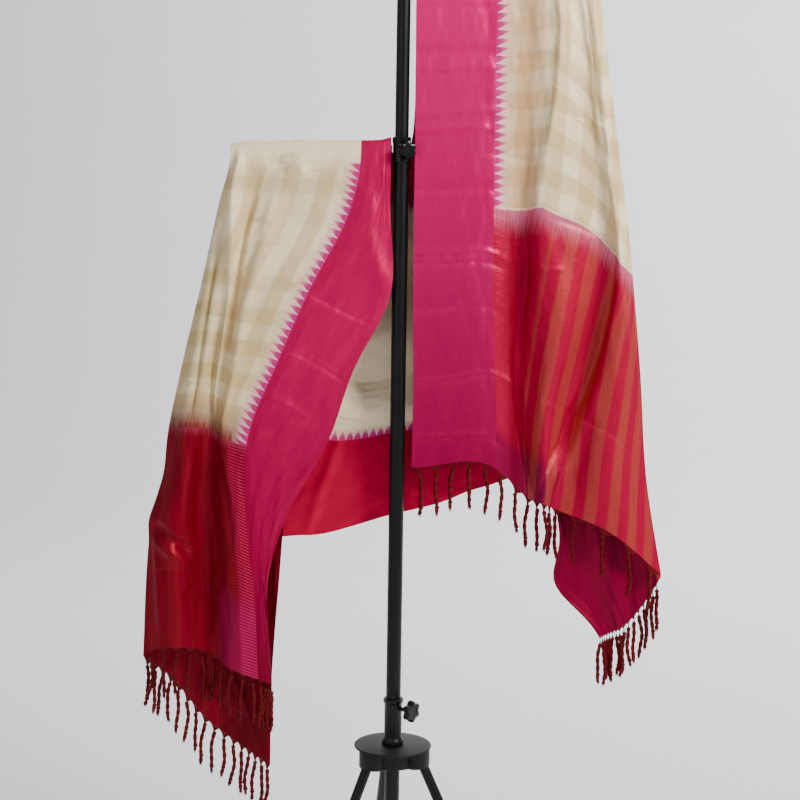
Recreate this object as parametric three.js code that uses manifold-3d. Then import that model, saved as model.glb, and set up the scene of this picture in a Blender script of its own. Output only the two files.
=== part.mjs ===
// A handloom silk dupatta draped over the two arms of a tripod display stand.
// Millimetres, +Z up. The post stands along Z, and the viewer's side is -Y.
import * as THREE from 'three';
import { mergeVertices } from 'three/addons/utils/BufferGeometryUtils.js';
import Module from 'manifold-3d';

const wasm = await Module();
wasm.setup();

// Driving dimensions of the stand.
const gap = 0.3;
const lowerTubeRadius = 14;
const upperTubeRadius = 12.5;
const lowerTubeFoot = 330;
const collarHeight = 1692;
const collarRadius = 17;
const collarLength = 46;
const armRadius = 8;
const leftArmReach = 308;
const rightArmReach = 340;
const rightArmHeight = 2095;
const postTop = 2124;
const sleeveBottom = 568;
const sleeveTop = 658;
const sleeveRadius = 16.6;
const sleeveRimRadius = 19;
const slidingClearance = 0.5;
const sleeveFootRadius = 20.6;
const sleeveFootHeight = 8;
const sleeveTaper = 6;
const sleeveRimHeight = 7;
const sleeveRimTaper = 2;
const flangeRadius = 73.5;
const flangeThickness = 12;
const flangeChamfer = 3;
const flangeSlope = 5;
const skirtHeight = 26;
const skirtWaist = 38;
const skirtLobe = 30;
const legSeat = 2;
const legCount = 3;
const legRadius = 9.5;
const legTurn = -20;
const legLean = 26.2;
const legPitchRadius = 50;
const footRadius = 15;
const footHeight = 26;
const footTopRadius = 13;
const footSocketDepth = 12;
const lowerKnobRadius = 21;
const upperKnobRadius = 17;
const lowerKnobReach = 37;
const upperKnobReach = 24;
const knobDepth = 13;
const knobBevel = 2;
const knobLobes = 6;
const knobLobeDepth = 0.12;
const knobScrewRadius = 4;
const lowerKnobTurn = -38;
const upperKnobTurn = -70;
const lowerKnobHeight = 640;
const tubeJointDrop = 8;
const armRingHalf = 16;
const armTipLength = 4;
const armTipRadius = 5.5;
const capRadius = 13.5;
const capEdge = 5;
const capTopRadius = 6;
const capHeight = 10;

// Driving dimensions of the cloth.
const wall = 1.6;
const seam = 0.3;
const overArm = armRadius + wall / 2 + 0.4;
const overCloth = overArm + wall * 2;
const tasselLength = 86;
const tasselRadius = 3.8;
const tasselsPerStrip = 16;
const tasselSwayAcross = 3;
const tasselSwayDeep = 1.5;
const tasselUneven = 0.05;
const stripDepth = 5;
const columnsPerFold = 3;
const rowsPerStation = 2;
const tasselRootShare = 0.45;

const look = {
  black: new THREE.MeshStandardMaterial({ color: 0x121113, roughness: 0.42, metalness: 0.6 }),
  rubber: new THREE.MeshStandardMaterial({ color: 0x0c0c0d, roughness: 0.85, metalness: 0 }),
  knob: new THREE.MeshStandardMaterial({ color: 0x141416, roughness: 0.35, metalness: 0 }),
  silk: new THREE.MeshStandardMaterial({ color: 0xd8206e, roughness: 0.45, metalness: 0 }),
  cream: new THREE.MeshStandardMaterial({ color: 0xdcceb0, roughness: 0.5, metalness: 0 }),
  crimson: new THREE.MeshStandardMaterial({ color: 0xa81238, roughness: 0.5, metalness: 0 }),
  tassel: new THREE.MeshStandardMaterial({ color: 0x780a16, roughness: 0.6, metalness: 0 }),
};

// Stations down a hanging stretch, as shares of its drop from the arm to the hem.
const drop = [0, 0.1, 0.27, 0.4, 0.53, 0.68, 0.84, 1];

// Each row is one fold line down the cloth. width is its place across the woven width,
// hem its height at the hem, arm its distance from the arm's middle line, lift what it
// stands up over the arm, and x and y where it lies at each station.
const leftFront = [
  { fold: 'selvedge', width: 0, hem: 682, arm: overArm, lift: 13,
    x: [-19, -19, -19, -82, -127, -203, -231, -230],
    y: [-10, -12, -14, -14, -15, -16, -14, -12] },
  { fold: 'border line', width: 145, hem: 698, arm: overArm + 0.8, lift: 6,
    x: [-74, -89, -170, -225, -275, -278, -262, -255],
    y: [-10, -17, -27, -31, -33, -34, -30, -26] },
  { fold: 'inner ridge', width: 215, hem: 721, arm: overCloth, lift: 3,
    x: [-184, -229, -282, -304, -322, -308, -302, -308],
    y: [-13, -22, -34, -37, -30, -38, -40, -36] },
  { fold: 'valley', width: 280, hem: 748, arm: overCloth, lift: 0,
    x: [-240, -268, -312, -328, -344, -352, -357, -357],
    y: [-13, -17, -22, -22, -19, -11, -9, -11] },
  { fold: 'outer ridge', width: 340, hem: 762, arm: overCloth, lift: 1,
    x: [-280, -306, -342, -360, -380, -404, -413, -409],
    y: [-13, -25, -36, -42, -46, -50, -49, -44] },
  { fold: 'outer fold', width: 400, hem: 748, arm: overCloth, lift: 0,
    x: [-306, -330, -366, -395, -422, -452, -467, -471],
    y: [-13, -14, -14, -14, -14, -14, -14, -14] },
];

const leftUnder = [
  { fold: 'outer fold', width: 400, hem: 735, arm: overArm, lift: 0,
    x: [-303, -328, -364, -393, -420, -450, -465, -474],
    y: [-10, -11.6, -11.6, -11.6, -11.6, -11.6, -11.6, -11.6] },
  { fold: 'outer wave', width: 500, hem: 684, arm: overArm, lift: 0,
    x: [-280, -293, -320, -342, -366, -392, -405, -418],
    y: [-10, -7, -2, 2, 4, 6, 7, 8] },
  { fold: 'middle wave', width: 590, hem: 614, arm: overArm, lift: 0,
    x: [-255, -264, -281, -296, -314, -333, -342, -357],
    y: [-10, -9, -8, -6, -5, -5, -4, -3] },
  { fold: 'border line', width: 680, hem: 560, arm: overArm, lift: 0,
    x: [-228, -234, -243, -250, -260, -270, -280, -294],
    y: [-10, -7, -2, 2, 5, 8, 10, 11] },
  { fold: 'selvedge', width: 800, hem: 520, arm: overArm, lift: 0,
    x: [-196, -196, -198, -201, -207, -218, -231, -234],
    y: [-10, -8, -5, -2, -1, 0, 1, 2] },
];

const rightFront = [
  { fold: 'selvedge', width: 0, hem: 1105, arm: overArm, lift: 2,
    x: [22, 22, 23, 24, 24, 25, 28, 27],
    y: [-10, -12, -14, -14, -14, -14, -14, -13] },
  { fold: 'border line', width: 145, hem: 1106, arm: overArm + 0.3, lift: 1,
    x: [120, 160, 167, 168, 170, 173, 180, 186],
    y: [-10, -18, -26, -28, -28, -28, -26, -24] },
  { fold: 'inner valley', width: 200, hem: 1054, arm: overArm + 0.6, lift: 0,
    x: [165, 213, 224, 221, 220, 224, 229, 241],
    y: [-10, -16, -20, -17, -12, -8, -7, -10] },
  { fold: 'middle ridge', width: 265, hem: 1043, arm: overCloth, lift: 2,
    x: [215, 262, 276, 264, 264, 285, 272, 276],
    y: [-13, -25, -34, -38, -40, -44, -42, -36] },
  { fold: 'outer valley', width: 325, hem: 1027, arm: overCloth, lift: 0,
    x: [260, 306, 336, 350, 368, 362, 322, 306],
    y: [-13, -18, -23, -23, -18, -11, -9, -12] },
  { fold: 'outer ridge', width: 380, hem: 992, arm: overCloth, lift: 1,
    x: [302, 334, 360, 380, 400, 402, 392, 399],
    y: [-13, -24, -33, -38, -43, -48, -48, -40] },
  { fold: 'outer fold', width: 440, hem: 909, arm: overCloth, lift: 0,
    x: [337, 354, 383, 408, 428, 446, 464, 499],
    y: [-13, -14, -14, -14, -14, -14, -14, -14] },
];

const rightUnder = [
  { fold: 'outer fold', width: 440, hem: 898, arm: overArm, lift: 0,
    x: [334, 352, 381, 406, 426, 444, 462, 496],
    y: [-10, -11.6, -11.6, -11.6, -11.6, -11.6, -11.6, -11.6] },
  { fold: 'outer wave', width: 530, hem: 842, arm: overArm, lift: 0,
    x: [310, 325, 350, 370, 388, 404, 430, 468],
    y: [-10, -7, -2, 2, 4, 6, 7, 8] },
  { fold: 'middle wave', width: 610, hem: 806, arm: overArm, lift: 0,
    x: [283, 293, 311, 326, 341, 352, 370, 434],
    y: [-10, -9, -8, -6, -5, -5, -4, -3] },
  { fold: 'border line', width: 690, hem: 790, arm: overArm, lift: 0,
    x: [255, 262, 276, 288, 300, 318, 342, 412],
    y: [-10, -7, -2, 2, 5, 8, 10, 11] },
  { fold: 'selvedge', width: 800, hem: 781, arm: overArm, lift: 0,
    x: [222, 226, 234, 244, 257, 280, 308, 392],
    y: [-10, -8, -5, -2, -1, 0, 1, 2] },
];

// The stretch behind the post, from the left arm to the right one. Each row is one fold line
// along the cloth, from the neck edge down, with its place at each station of the crossing.
const swagUpper = [
  { fold: 'selvedge', width: 0,
    x: [-19, -18, -12, 0, 12, 20, 24, 26, 24],
    y: [9.2, 17, 21, 23, 23, 22, 20, 16, 9.2],
    z: [1692, 1688, 1686, 1687, 1694, 1720, 1800, 1950, 2095] },
  { fold: 'border line', width: 145,
    x: [-74, -72, -50, -20, 20, 60, 95, 112, 118],
    y: [9.2, 26, 35, 39, 40, 39, 35, 23, 9.2],
    z: [1692, 1650, 1615, 1600, 1597, 1640, 1750, 1930, 2095] },
  { fold: 'first hollow', width: 215,
    x: [-125, -122, -88, -42, 16, 76, 130, 158, 166],
    y: [9.8, 21, 28, 31, 32, 31, 28, 20, 9.8],
    z: [1692, 1622, 1560, 1534, 1535, 1590, 1716, 1915, 2095] },
  { fold: 'upper wave', width: 300,
    x: [-190, -182, -135, -68, 10, 92, 165, 205, 218],
    y: [12.4, 33, 48, 54, 56, 54, 46, 29, 12.4],
    z: [1692, 1585, 1485, 1440, 1442, 1505, 1660, 1890, 2095] },
  { fold: 'second hollow', width: 375,
    x: [-245, -240, -186, -96, 8, 108, 205, 258, 278],
    y: [12.4, 28, 39, 43, 44, 43, 37, 26, 12.4],
    z: [1692, 1560, 1425, 1352, 1352, 1420, 1600, 1862, 2095] },
  { fold: 'middle fold', width: 450,
    x: [-300, -302, -240, -122, 5, 122, 238, 306, 334],
    y: [12.4, 34, 53, 62, 64, 62, 53, 32, 12.4],
    z: [1692, 1530, 1365, 1265, 1268, 1330, 1530, 1830, 2095] },
];

const swagLower = [
  { fold: 'middle fold', width: 450,
    x: [-200, -218, -220, -122, 5, 122, 222, 262, 262],
    y: [9.2, 21, 44, 62, 64, 62, 45, 22, 9.2],
    z: [1692, 1530, 1355, 1263.4, 1266.4, 1328.4, 1520, 1830, 2095] },
  { fold: 'lower hollow', width: 550,
    x: [-240, -266, -242, -128, -2, 126, 254, 292, 290],
    y: [9.2, 17, 30, 40, 42, 40, 30, 18, 9.2],
    z: [1692, 1450, 1262, 1205, 1215, 1262, 1420, 1740, 2095] },
  { fold: 'border line', width: 655,
    x: [-270, -298, -262, -131, -10, 122, 266, 314, 310],
    y: [9.2, 18, 35, 49, 53, 51, 34, 18, 9.2],
    z: [1692, 1400, 1185, 1145, 1160, 1196, 1320, 1670, 2095] },
  { fold: 'border hollow', width: 730,
    x: [-285, -318, -276, -150, -12, 121, 270, 330, 322],
    y: [9.2, 16, 26, 36, 40, 39, 27, 16, 9.2],
    z: [1692, 1360, 1090, 1052, 1080, 1120, 1232, 1612, 2095] },
  { fold: 'selvedge', width: 800,
    x: [-300, -332, -285, -170, -14, 120, 270, 340, 334],
    y: [9.2, 15, 22, 33, 37, 36, 24, 15, 9.2],
    z: [1692, 1330, 1005, 964, 1004, 1046, 1150, 1560, 2095] },
];

// Turns a closed geometry into a solid that can be cut or joined.
function solidOf(geometry) {
  const bare = geometry.clone();
  bare.deleteAttribute('normal');
  bare.deleteAttribute('uv');
  const merged = mergeVertices(bare, 1e-4);
  return new wasm.Manifold(new wasm.Mesh({
    numProp: 3,
    vertProperties: new Float32Array(merged.attributes.position.array),
    triVerts: new Uint32Array(merged.index.array),
  }));
}

function geometryOf(solid) {
  const mesh = solid.getMesh();
  const geometry = new THREE.BufferGeometry();
  geometry.setAttribute('position', new THREE.BufferAttribute(new Float32Array(mesh.vertProperties), 3));
  geometry.setIndex(new THREE.BufferAttribute(new Uint32Array(mesh.triVerts), 1));
  return geometry;
}

function piece(name, geometry, material) {
  const mesh = new THREE.Mesh(geometry, material);
  mesh.name = name;
  return mesh;
}

// A rod of the given radius from one point to another.
function rod(from, to, radius, sides = 16) {
  const along = new THREE.Vector3().subVectors(to, from);
  const geometry = new THREE.CylinderGeometry(radius, radius, along.length(), sides);
  const upright = new THREE.Vector3(0, 1, 0);
  const turn = new THREE.Quaternion().setFromUnitVectors(upright, along.clone().normalize());
  geometry.applyQuaternion(turn);
  geometry.translate((from.x + to.x) / 2, (from.y + to.y) / 2, (from.z + to.z) / 2);
  return geometry;
}

// A turned piece about +Z from [radius, height] pairs.
function turned(profile, sides = 24) {
  const geometry = new THREE.LatheGeometry(profile.map(([r, z]) => new THREE.Vector2(r, z)), sides);
  geometry.rotateX(Math.PI / 2);
  return geometry;
}

function tube(outer, inner, bottom, top, sides = 24) {
  return turned([[inner, bottom], [outer, bottom], [outer, top], [inner, top], [inner, bottom]], sides);
}

// A value on the smooth curve through points that stand at the given knots.
function smooth(knots, values, at) {
  const last = values.length - 1;
  let i = 0;
  while (i < last - 1 && at > knots[i + 1]) i += 1;
  const slope = (k) => (values[k + 1] - values[k]) / (knots[k + 1] - knots[k]);
  const tangent = (k) => {
    if (k === 0) return slope(0);
    if (k === last) return slope(last - 1);
    const before = knots[k] - knots[k - 1];
    const after = knots[k + 1] - knots[k];
    return (slope(k - 1) * after + slope(k) * before) / (before + after);
  };
  const span = knots[i + 1] - knots[i];
  const t = (at - knots[i]) / span;
  const rise = values[i + 1] - values[i];
  const enter = tangent(i) * span;
  const leave = tangent(i + 1) * span;
  const square = (3 * rise - 2 * enter - leave) * t * t;
  const cube = (enter + leave - 2 * rise) * t * t * t;
  return values[i] + enter * t + square + cube;
}

// A stretch is its fold lines' places across the woven width, their paths, and the stations' places.
// This one hangs: up and over the arm from behind, then down to the hem.
const turnsOverArm = [0, 45, 90, 135];
const turnLength = 8;
const usualDrop = 1000;
function hanging(folds, armHeight) {
  const paths = folds.map((row) => {
    const path = turnsOverArm.map((turn) => {
      const angle = THREE.MathUtils.degToRad(turn);
      const rise = (row.arm + row.lift) * Math.sin(angle);
      return new THREE.Vector3(row.x[0], row.arm * Math.cos(angle), armHeight + rise);
    });
    drop.forEach((share, k) => {
      path.push(new THREE.Vector3(row.x[k], row.y[k], armHeight + (row.hem - armHeight) * share));
    });
    return path;
  });
  const stations = [
    ...turnsOverArm.map((turn, k) => (k - turnsOverArm.length) * turnLength),
    ...drop.map((share) => share * usualDrop),
  ];
  return { widths: folds.map((row) => row.width), paths, stations };
}

// This one crosses behind the post from arm to arm.
const tuck = 0.8;
const crossingStep = 200;
function crossing(folds) {
  const last = folds[0].x.length - 1;
  const paths = folds.map((row) => row.x.map((x, k) => {
    const below = k === 0 || k === last ? tuck : 0;
    return new THREE.Vector3(x, row.y[k], row.z[k] - below);
  }));
  const stations = folds[0].x.map((x, k) => k * crossingStep);
  return { widths: folds.map((row) => row.width), paths, stations };
}

// Each gap between knots, cut into equal steps.
function stepped(knots, steps) {
  const places = [knots[0]];
  for (let k = 0; k + 1 < knots.length; k += 1) {
    for (let s = 1; s <= steps; s += 1) {
      places.push(knots[k] + ((knots[k + 1] - knots[k]) * s) / steps);
    }
  }
  return places;
}

// The point of a stretch at a place across its width and a station along it.
function pointOn({ widths, paths, stations }, width, station) {
  const alongPath = (path, axis) => smooth(stations, path.map((p) => p[axis]), station);
  const value = (axis) => smooth(widths, paths.map((path) => alongPath(path, axis)), width);
  return new THREE.Vector3(value('x'), value('y'), value('z'));
}

function gridOf(stretch, across, along) {
  const columns = stepped(stretch.widths, across);
  const rows = stepped(stretch.stations, along);
  return rows.map((station) => columns.map((width) => pointOn(stretch, width, station)));
}

// A wall of even thickness on both sides of a grid of points.
function clothWall(grid) {
  const rows = grid.length - 1;
  const columns = grid[0].length - 1;
  const at = (r, c) => grid[r][c];
  const normals = [];
  for (let r = 0; r <= rows; r += 1) {
    for (let c = 0; c <= columns; c += 1) {
      const [left, right] = [at(r, Math.max(c - 1, 0)), at(r, Math.min(c + 1, columns))];
      const [above, below] = [at(Math.max(r - 1, 0), c), at(Math.min(r + 1, rows), c)];
      const side = new THREE.Vector3().subVectors(right, left);
      const down = new THREE.Vector3().subVectors(below, above);
      normals.push(side.cross(down).normalize());
    }
  }
  const layer = normals.length;
  const positions = [];
  [0.5, -0.5].forEach((side) => {
    grid.flat().forEach((point, i) => {
      positions.push(...point.clone().addScaledVector(normals[i], side * wall).toArray());
    });
  });
  const index = [];
  const id = (r, c, back) => r * (columns + 1) + c + (back ? layer : 0);
  const quad = (a, b, c, d) => index.push(a, b, c, a, c, d);
  for (let r = 0; r < rows; r += 1) {
    for (let c = 0; c < columns; c += 1) {
      quad(id(r, c), id(r, c + 1), id(r + 1, c + 1), id(r + 1, c));
      quad(id(r, c, true), id(r + 1, c, true), id(r + 1, c + 1, true), id(r, c + 1, true));
    }
    quad(id(r, 0), id(r + 1, 0), id(r + 1, 0, true), id(r, 0, true));
    quad(id(r, columns), id(r, columns, true), id(r + 1, columns, true), id(r + 1, columns));
  }
  for (let c = 0; c < columns; c += 1) {
    quad(id(0, c), id(0, c, true), id(0, c + 1, true), id(0, c + 1));
    quad(id(rows, c), id(rows, c + 1), id(rows, c + 1, true), id(rows, c, true));
  }
  const geometry = new THREE.BufferGeometry();
  geometry.setAttribute('position', new THREE.Float32BufferAttribute(positions, 3));
  geometry.setIndex(index);
  return geometry;
}

// One twisted tassel, a three-sided rope with a knot near its end.
const tasselSides = 3;
const tasselRings = [
  { down: 0, size: 0.5 },
  { down: 0.2, size: 0.85 },
  { down: 0.88, size: 1.15 },
  { down: 1, size: 0.5 },
];
function tassel(root, sway, length) {
  const positions = [];
  tasselRings.forEach(({ down, size }, k) => {
    for (let s = 0; s < tasselSides; s += 1) {
      const angle = (s * Math.PI * 2) / tasselSides + k * 0.5;
      positions.push(
        root.x + sway.x * down + tasselRadius * size * Math.cos(angle),
        root.y + sway.y * down + tasselRadius * size * Math.sin(angle),
        root.z - length * down,
      );
    }
  });
  const index = [];
  for (let k = 0; k + 1 < tasselRings.length; k += 1) {
    for (let s = 0; s < tasselSides; s += 1) {
      const [a, b] = [k * tasselSides + s, k * tasselSides + ((s + 1) % tasselSides)];
      index.push(a, a + tasselSides, b + tasselSides, a, b + tasselSides, b);
    }
  }
  const end = (tasselRings.length - 1) * tasselSides;
  index.push(0, 1, 2, end, end + 2, end + 1);
  const geometry = new THREE.BufferGeometry();
  geometry.setAttribute('position', new THREE.Float32BufferAttribute(positions, 3));
  geometry.setIndex(index);
  return geometry;
}

// The hem's narrow strip, joined with its row of tassels, which stand evenly across the cloth.
function fringe({ widths }, grid, lean) {
  const hem = grid[grid.length - 1];
  const columns = stepped(widths, columnsPerFold);
  const below = seam + wall / 2;
  const strip = [0, 1].map((k) => hem.map((p) => p.clone().setZ(p.z - below - stripDepth * k)));
  let solid = solidOf(clothWall(strip));
  for (let i = 0; i < tasselsPerStrip; i += 1) {
    const share = (i + 0.5) / tasselsPerStrip;
    const width = THREE.MathUtils.lerp(columns[0], columns[columns.length - 1], share);
    const next = columns.findIndex((column) => column > width);
    const part = (width - columns[next - 1]) / (columns[next] - columns[next - 1]);
    const root = hem[next - 1].clone().lerp(hem[next], part);
    root.z -= below + stripDepth * tasselRootShare;
    const sway = {
      x: lean + tasselSwayAcross * Math.sin(i * 2.4),
      y: tasselSwayDeep * Math.cos(i * 1.7),
    };
    const length = tasselLength * (1 + tasselUneven * Math.sin(i * 1.9));
    solid = solid.add(solidOf(tassel(root, sway, length)));
  }
  return geometryOf(solid);
}

// A lobed knob on a screw that points out from the post's axis.
function knob(name, { radius: knobRadius, turn: knobTurn, reach: knobReach, height, screwFrom }) {
  const shape = new THREE.Shape();
  const steps = knobLobes * 6;
  for (let i = 0; i < steps; i += 1) {
    const angle = (i / steps) * Math.PI * 2;
    const radius = knobRadius * (1 - knobLobeDepth + knobLobeDepth * Math.cos(angle * knobLobes));
    const [x, y] = [radius * Math.cos(angle), radius * Math.sin(angle)];
    if (i === 0) shape.moveTo(x, y);
    else shape.lineTo(x, y);
  }
  const head = new THREE.ExtrudeGeometry(shape, {
    depth: knobDepth - 2 * knobBevel,
    bevelEnabled: true,
    bevelThickness: knobBevel,
    bevelSize: knobBevel,
    bevelOffset: -knobBevel,
    bevelSegments: 1,
  });
  head.translate(0, 0, knobReach + knobBevel);
  const screwEnd = new THREE.Vector3(0, 0, knobReach + knobDepth / 3);
  const screw = rod(new THREE.Vector3(0, 0, screwFrom), screwEnd, knobScrewRadius);
  const both = geometryOf(solidOf(head).add(solidOf(screw)));
  both.rotateY(Math.PI / 2);
  both.rotateZ(THREE.MathUtils.degToRad(knobTurn));
  both.translate(0, 0, height);
  return piece(name, both, look.knob);
}

// The way that a knob's screw takes through the wall round the post.
function knobHole(knobTurn, height) {
  const angle = THREE.MathUtils.degToRad(knobTurn);
  const way = new THREE.Vector3(Math.cos(angle), Math.sin(angle), 0);
  const from = way.clone().multiplyScalar(armRadius).setZ(height);
  const to = way.clone().multiplyScalar(collarRadius * 2).setZ(height);
  return solidOf(rod(from, to, knobScrewRadius + gap));
}

// The tripod: a flange over a three-lobed skirt, a sleeve for the post, and three legs.
const flangeTop = sleeveBottom - gap;
const skirtTop = flangeTop - flangeThickness;
const skirtBottom = skirtTop - skirtHeight;
const legTop = skirtTop + legSeat;
const legSlope = THREE.MathUtils.degToRad(legLean);
const boreRadius = lowerTubeRadius + slidingClearance;
const tubeJoint = collarHeight - tubeJointDrop - gap;
const knobClearance = 1;

const footSocketFloor = 6;
function legEnds(number) {
  const turn = THREE.MathUtils.degToRad(legTurn + (360 / legCount) * number);
  const out = (radius, z) => new THREE.Vector3(radius * Math.cos(turn), radius * Math.sin(turn), z);
  const bottom = footHeight + footSocketFloor;
  const reach = legPitchRadius + (legTop - bottom) * Math.tan(legSlope);
  return { top: out(legPitchRadius, legTop), bottom: out(reach, bottom) };
}

function hub() {
  const flange = turned([
    [boreRadius, skirtTop],
    [flangeRadius - flangeChamfer, skirtTop],
    [flangeRadius, skirtTop + flangeChamfer],
    [flangeRadius, flangeTop - flangeChamfer],
    [flangeRadius - flangeSlope, flangeTop],
    [boreRadius, flangeTop],
    [boreRadius, skirtTop],
  ], 36);
  const shape = new THREE.Shape();
  const steps = 36;
  for (let i = 0; i < steps; i += 1) {
    const angle = (i / steps) * Math.PI * 2;
    const lobe = Math.max(0, Math.cos((angle - THREE.MathUtils.degToRad(legTurn)) * legCount));
    const radius = skirtWaist + skirtLobe * Math.sqrt(lobe);
    if (i === 0) shape.moveTo(radius, 0);
    else shape.lineTo(radius * Math.cos(angle), radius * Math.sin(angle));
  }
  const bore = new THREE.Path();
  bore.absarc(0, 0, boreRadius, 0, Math.PI * 2, true);
  shape.holes.push(bore);
  const intoFlange = 1;
  const skirt = new THREE.ExtrudeGeometry(shape, {
    depth: skirtHeight + intoFlange,
    bevelEnabled: false,
    curveSegments: 12,
  });
  skirt.translate(0, 0, skirtBottom);
  let solid = solidOf(flange).add(solidOf(skirt));
  const passage = new THREE.Vector3(0, 0, skirtBottom - legSeat);
  solid = solid.subtract(solidOf(rod(passage, passage.clone().setZ(flangeTop + legSeat), boreRadius, 24)));
  for (let i = 0; i < legCount; i += 1) {
    const { top, bottom } = legEnds(i);
    const beyond = new THREE.Vector3().subVectors(top, bottom).normalize();
    const seatEnd = top.clone().addScaledVector(beyond, gap);
    solid = solid.subtract(solidOf(rod(bottom, seatEnd, legRadius + gap, 16)));
  }
  return piece('hub', geometryOf(solid), look.black);
}

function leg(number) {
  const { top, bottom } = legEnds(number);
  return piece(`leg_${number + 1}`, rod(bottom, top, legRadius, 16), look.black);
}

function foot(number) {
  const { top, bottom } = legEnds(number);
  const beyond = new THREE.Vector3().subVectors(bottom, top).normalize();
  const bootTop = footHeight + footSocketDepth;
  const boot = turned([
    [0, 0],
    [footRadius, 0],
    [footRadius, sleeveFootHeight],
    [footTopRadius, bootTop],
    [0, bootTop],
  ], 20);
  boot.translate(bottom.x, bottom.y, 0);
  const socket = rod(top, bottom.clone().addScaledVector(beyond, gap), legRadius + gap, 16);
  return piece(`foot_${number + 1}`, geometryOf(solidOf(boot).subtract(solidOf(socket))), look.rubber);
}

function sleeve() {
  const body = turned([
    [boreRadius, sleeveBottom],
    [sleeveFootRadius, sleeveBottom],
    [sleeveFootRadius, sleeveBottom + sleeveFootHeight],
    [sleeveRadius, sleeveBottom + sleeveFootHeight + sleeveTaper],
    [sleeveRadius, sleeveTop - sleeveRimHeight - sleeveRimTaper],
    [sleeveRimRadius, sleeveTop - sleeveRimHeight],
    [sleeveRimRadius, sleeveTop],
    [boreRadius, sleeveTop],
    [boreRadius, sleeveBottom],
  ]);
  const drilled = solidOf(body).subtract(knobHole(lowerKnobTurn, lowerKnobHeight));
  return piece('sleeve', geometryOf(drilled), look.black);
}

function collar() {
  const bottom = collarHeight - collarLength / 2;
  const top = bottom + collarLength;
  const beyond = 5;
  let solid = solidOf(tube(collarRadius, collarRadius / 2, bottom, top));
  const onAxis = (height) => new THREE.Vector3(0, 0, height);
  const inner = (radius, from, to) => solidOf(rod(onAxis(from), onAxis(to), radius, 24));
  solid = solid.subtract(inner(lowerTubeRadius + gap, bottom - beyond, tubeJoint + gap));
  solid = solid.subtract(inner(upperTubeRadius + gap, tubeJoint, top + beyond));
  return piece('collar', geometryOf(solid.subtract(knobHole(upperKnobTurn, collarHeight))), look.black);
}

function arm(name, from, reach, height) {
  const out = Math.sign(reach);
  const long = Math.abs(reach) - from;
  const bar = turned([
    [0, 0],
    [armRadius, 0],
    [armRadius, long - armTipLength],
    [armTipRadius, long],
    [0, long],
  ], 16);
  bar.rotateY((Math.PI / 2) * out);
  bar.translate(from * out, 0, height);
  return piece(name, bar, look.black);
}

const display = new THREE.Group();
display.add(hub(), sleeve(), knob('lower_knob', {
  radius: lowerKnobRadius,
  turn: lowerKnobTurn,
  reach: lowerKnobReach,
  height: lowerKnobHeight,
  screwFrom: lowerTubeRadius + knobClearance,
}));
for (let i = 0; i < legCount; i += 1) {
  display.add(leg(i), foot(i));
}

// The post: two tubes in a collar, a ring for the upper arm, and a cap.
display.add(piece('lower_tube', turned([
  [0, lowerTubeFoot],
  [lowerTubeRadius, lowerTubeFoot],
  [lowerTubeRadius, tubeJoint - gap],
  [0, tubeJoint - gap],
]), look.black));
display.add(piece('upper_tube', turned([
  [0, tubeJoint],
  [upperTubeRadius, tubeJoint],
  [upperTubeRadius, postTop],
  [0, postTop],
]), look.black));
display.add(collar());
display.add(knob('upper_knob', {
  radius: upperKnobRadius,
  turn: upperKnobTurn,
  reach: upperKnobReach,
  height: collarHeight,
  screwFrom: upperTubeRadius + knobClearance,
}));
const ringBottom = rightArmHeight - armRingHalf;
const ringTop = rightArmHeight + armRingHalf;
display.add(piece('arm_ring', tube(collarRadius, upperTubeRadius + gap, ringBottom, ringTop), look.black));
display.add(piece('top_cap', turned([
  [0, postTop + gap],
  [capRadius, postTop + gap],
  [capRadius, postTop + capEdge],
  [capTopRadius, postTop + capHeight - 1],
  [0, postTop + capHeight],
]), look.knob));
display.add(arm('left_arm', collarRadius + gap, -leftArmReach, collarHeight));
display.add(arm('right_arm', collarRadius + gap, rightArmReach, rightArmHeight));

// The cloth, one wall for each stretch that shows, and its four tasselled strips.
const leftFrontStretch = hanging(leftFront, collarHeight);
const leftUnderStretch = hanging(leftUnder, collarHeight);
const rightFrontStretch = hanging(rightFront, rightArmHeight);
const rightUnderStretch = hanging(rightUnder, rightArmHeight);
const leftFrontGrid = gridOf(leftFrontStretch, columnsPerFold, rowsPerStation);
const leftUnderGrid = gridOf(leftUnderStretch, columnsPerFold, rowsPerStation);
const rightFrontGrid = gridOf(rightFrontStretch, columnsPerFold, rowsPerStation);
const rightUnderGrid = gridOf(rightUnderStretch, columnsPerFold, rowsPerStation);
display.add(
  piece('left_front_panel', clothWall(leftFrontGrid), look.silk),
  piece('left_under_fold', clothWall(leftUnderGrid), look.crimson),
  piece('right_front_panel', clothWall(rightFrontGrid), look.silk),
  piece('right_under_fold', clothWall(rightUnderGrid), look.crimson),
  piece('back_swag_upper', clothWall(gridOf(crossing(swagUpper), 2, 3)), look.cream),
  piece('back_swag_lower', clothWall(gridOf(crossing(swagLower), 3, 3)), look.cream),
  piece('left_front_tassels', fringe(leftFrontStretch, leftFrontGrid, -2), look.tassel),
  piece('left_under_tassels', fringe(leftUnderStretch, leftUnderGrid, -5), look.tassel),
  piece('right_front_tassels', fringe(rightFrontStretch, rightFrontGrid, 1), look.tassel),
  piece('right_under_tassels', fringe(rightUnderStretch, rightUnderGrid, 2), look.tassel),
);

// The origin is on the floor, under the middle of the whole piece's box.
const reach = new THREE.Box3().setFromObject(display);
const middle = reach.getCenter(new THREE.Vector3());
display.position.set(-middle.x, -middle.y, -reach.min.z);
const group = new THREE.Group();
group.add(display);

export default group;
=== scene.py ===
# A handloom silk dupatta over the two arms of a tripod display stand.
# The cloth, its tassels, the stand's finishes, the light and the camera.
from math import cos, pi, radians, sin, sqrt, tan

import bpy
import numpy as np
from mathutils import Euler, Matrix, Vector


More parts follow.
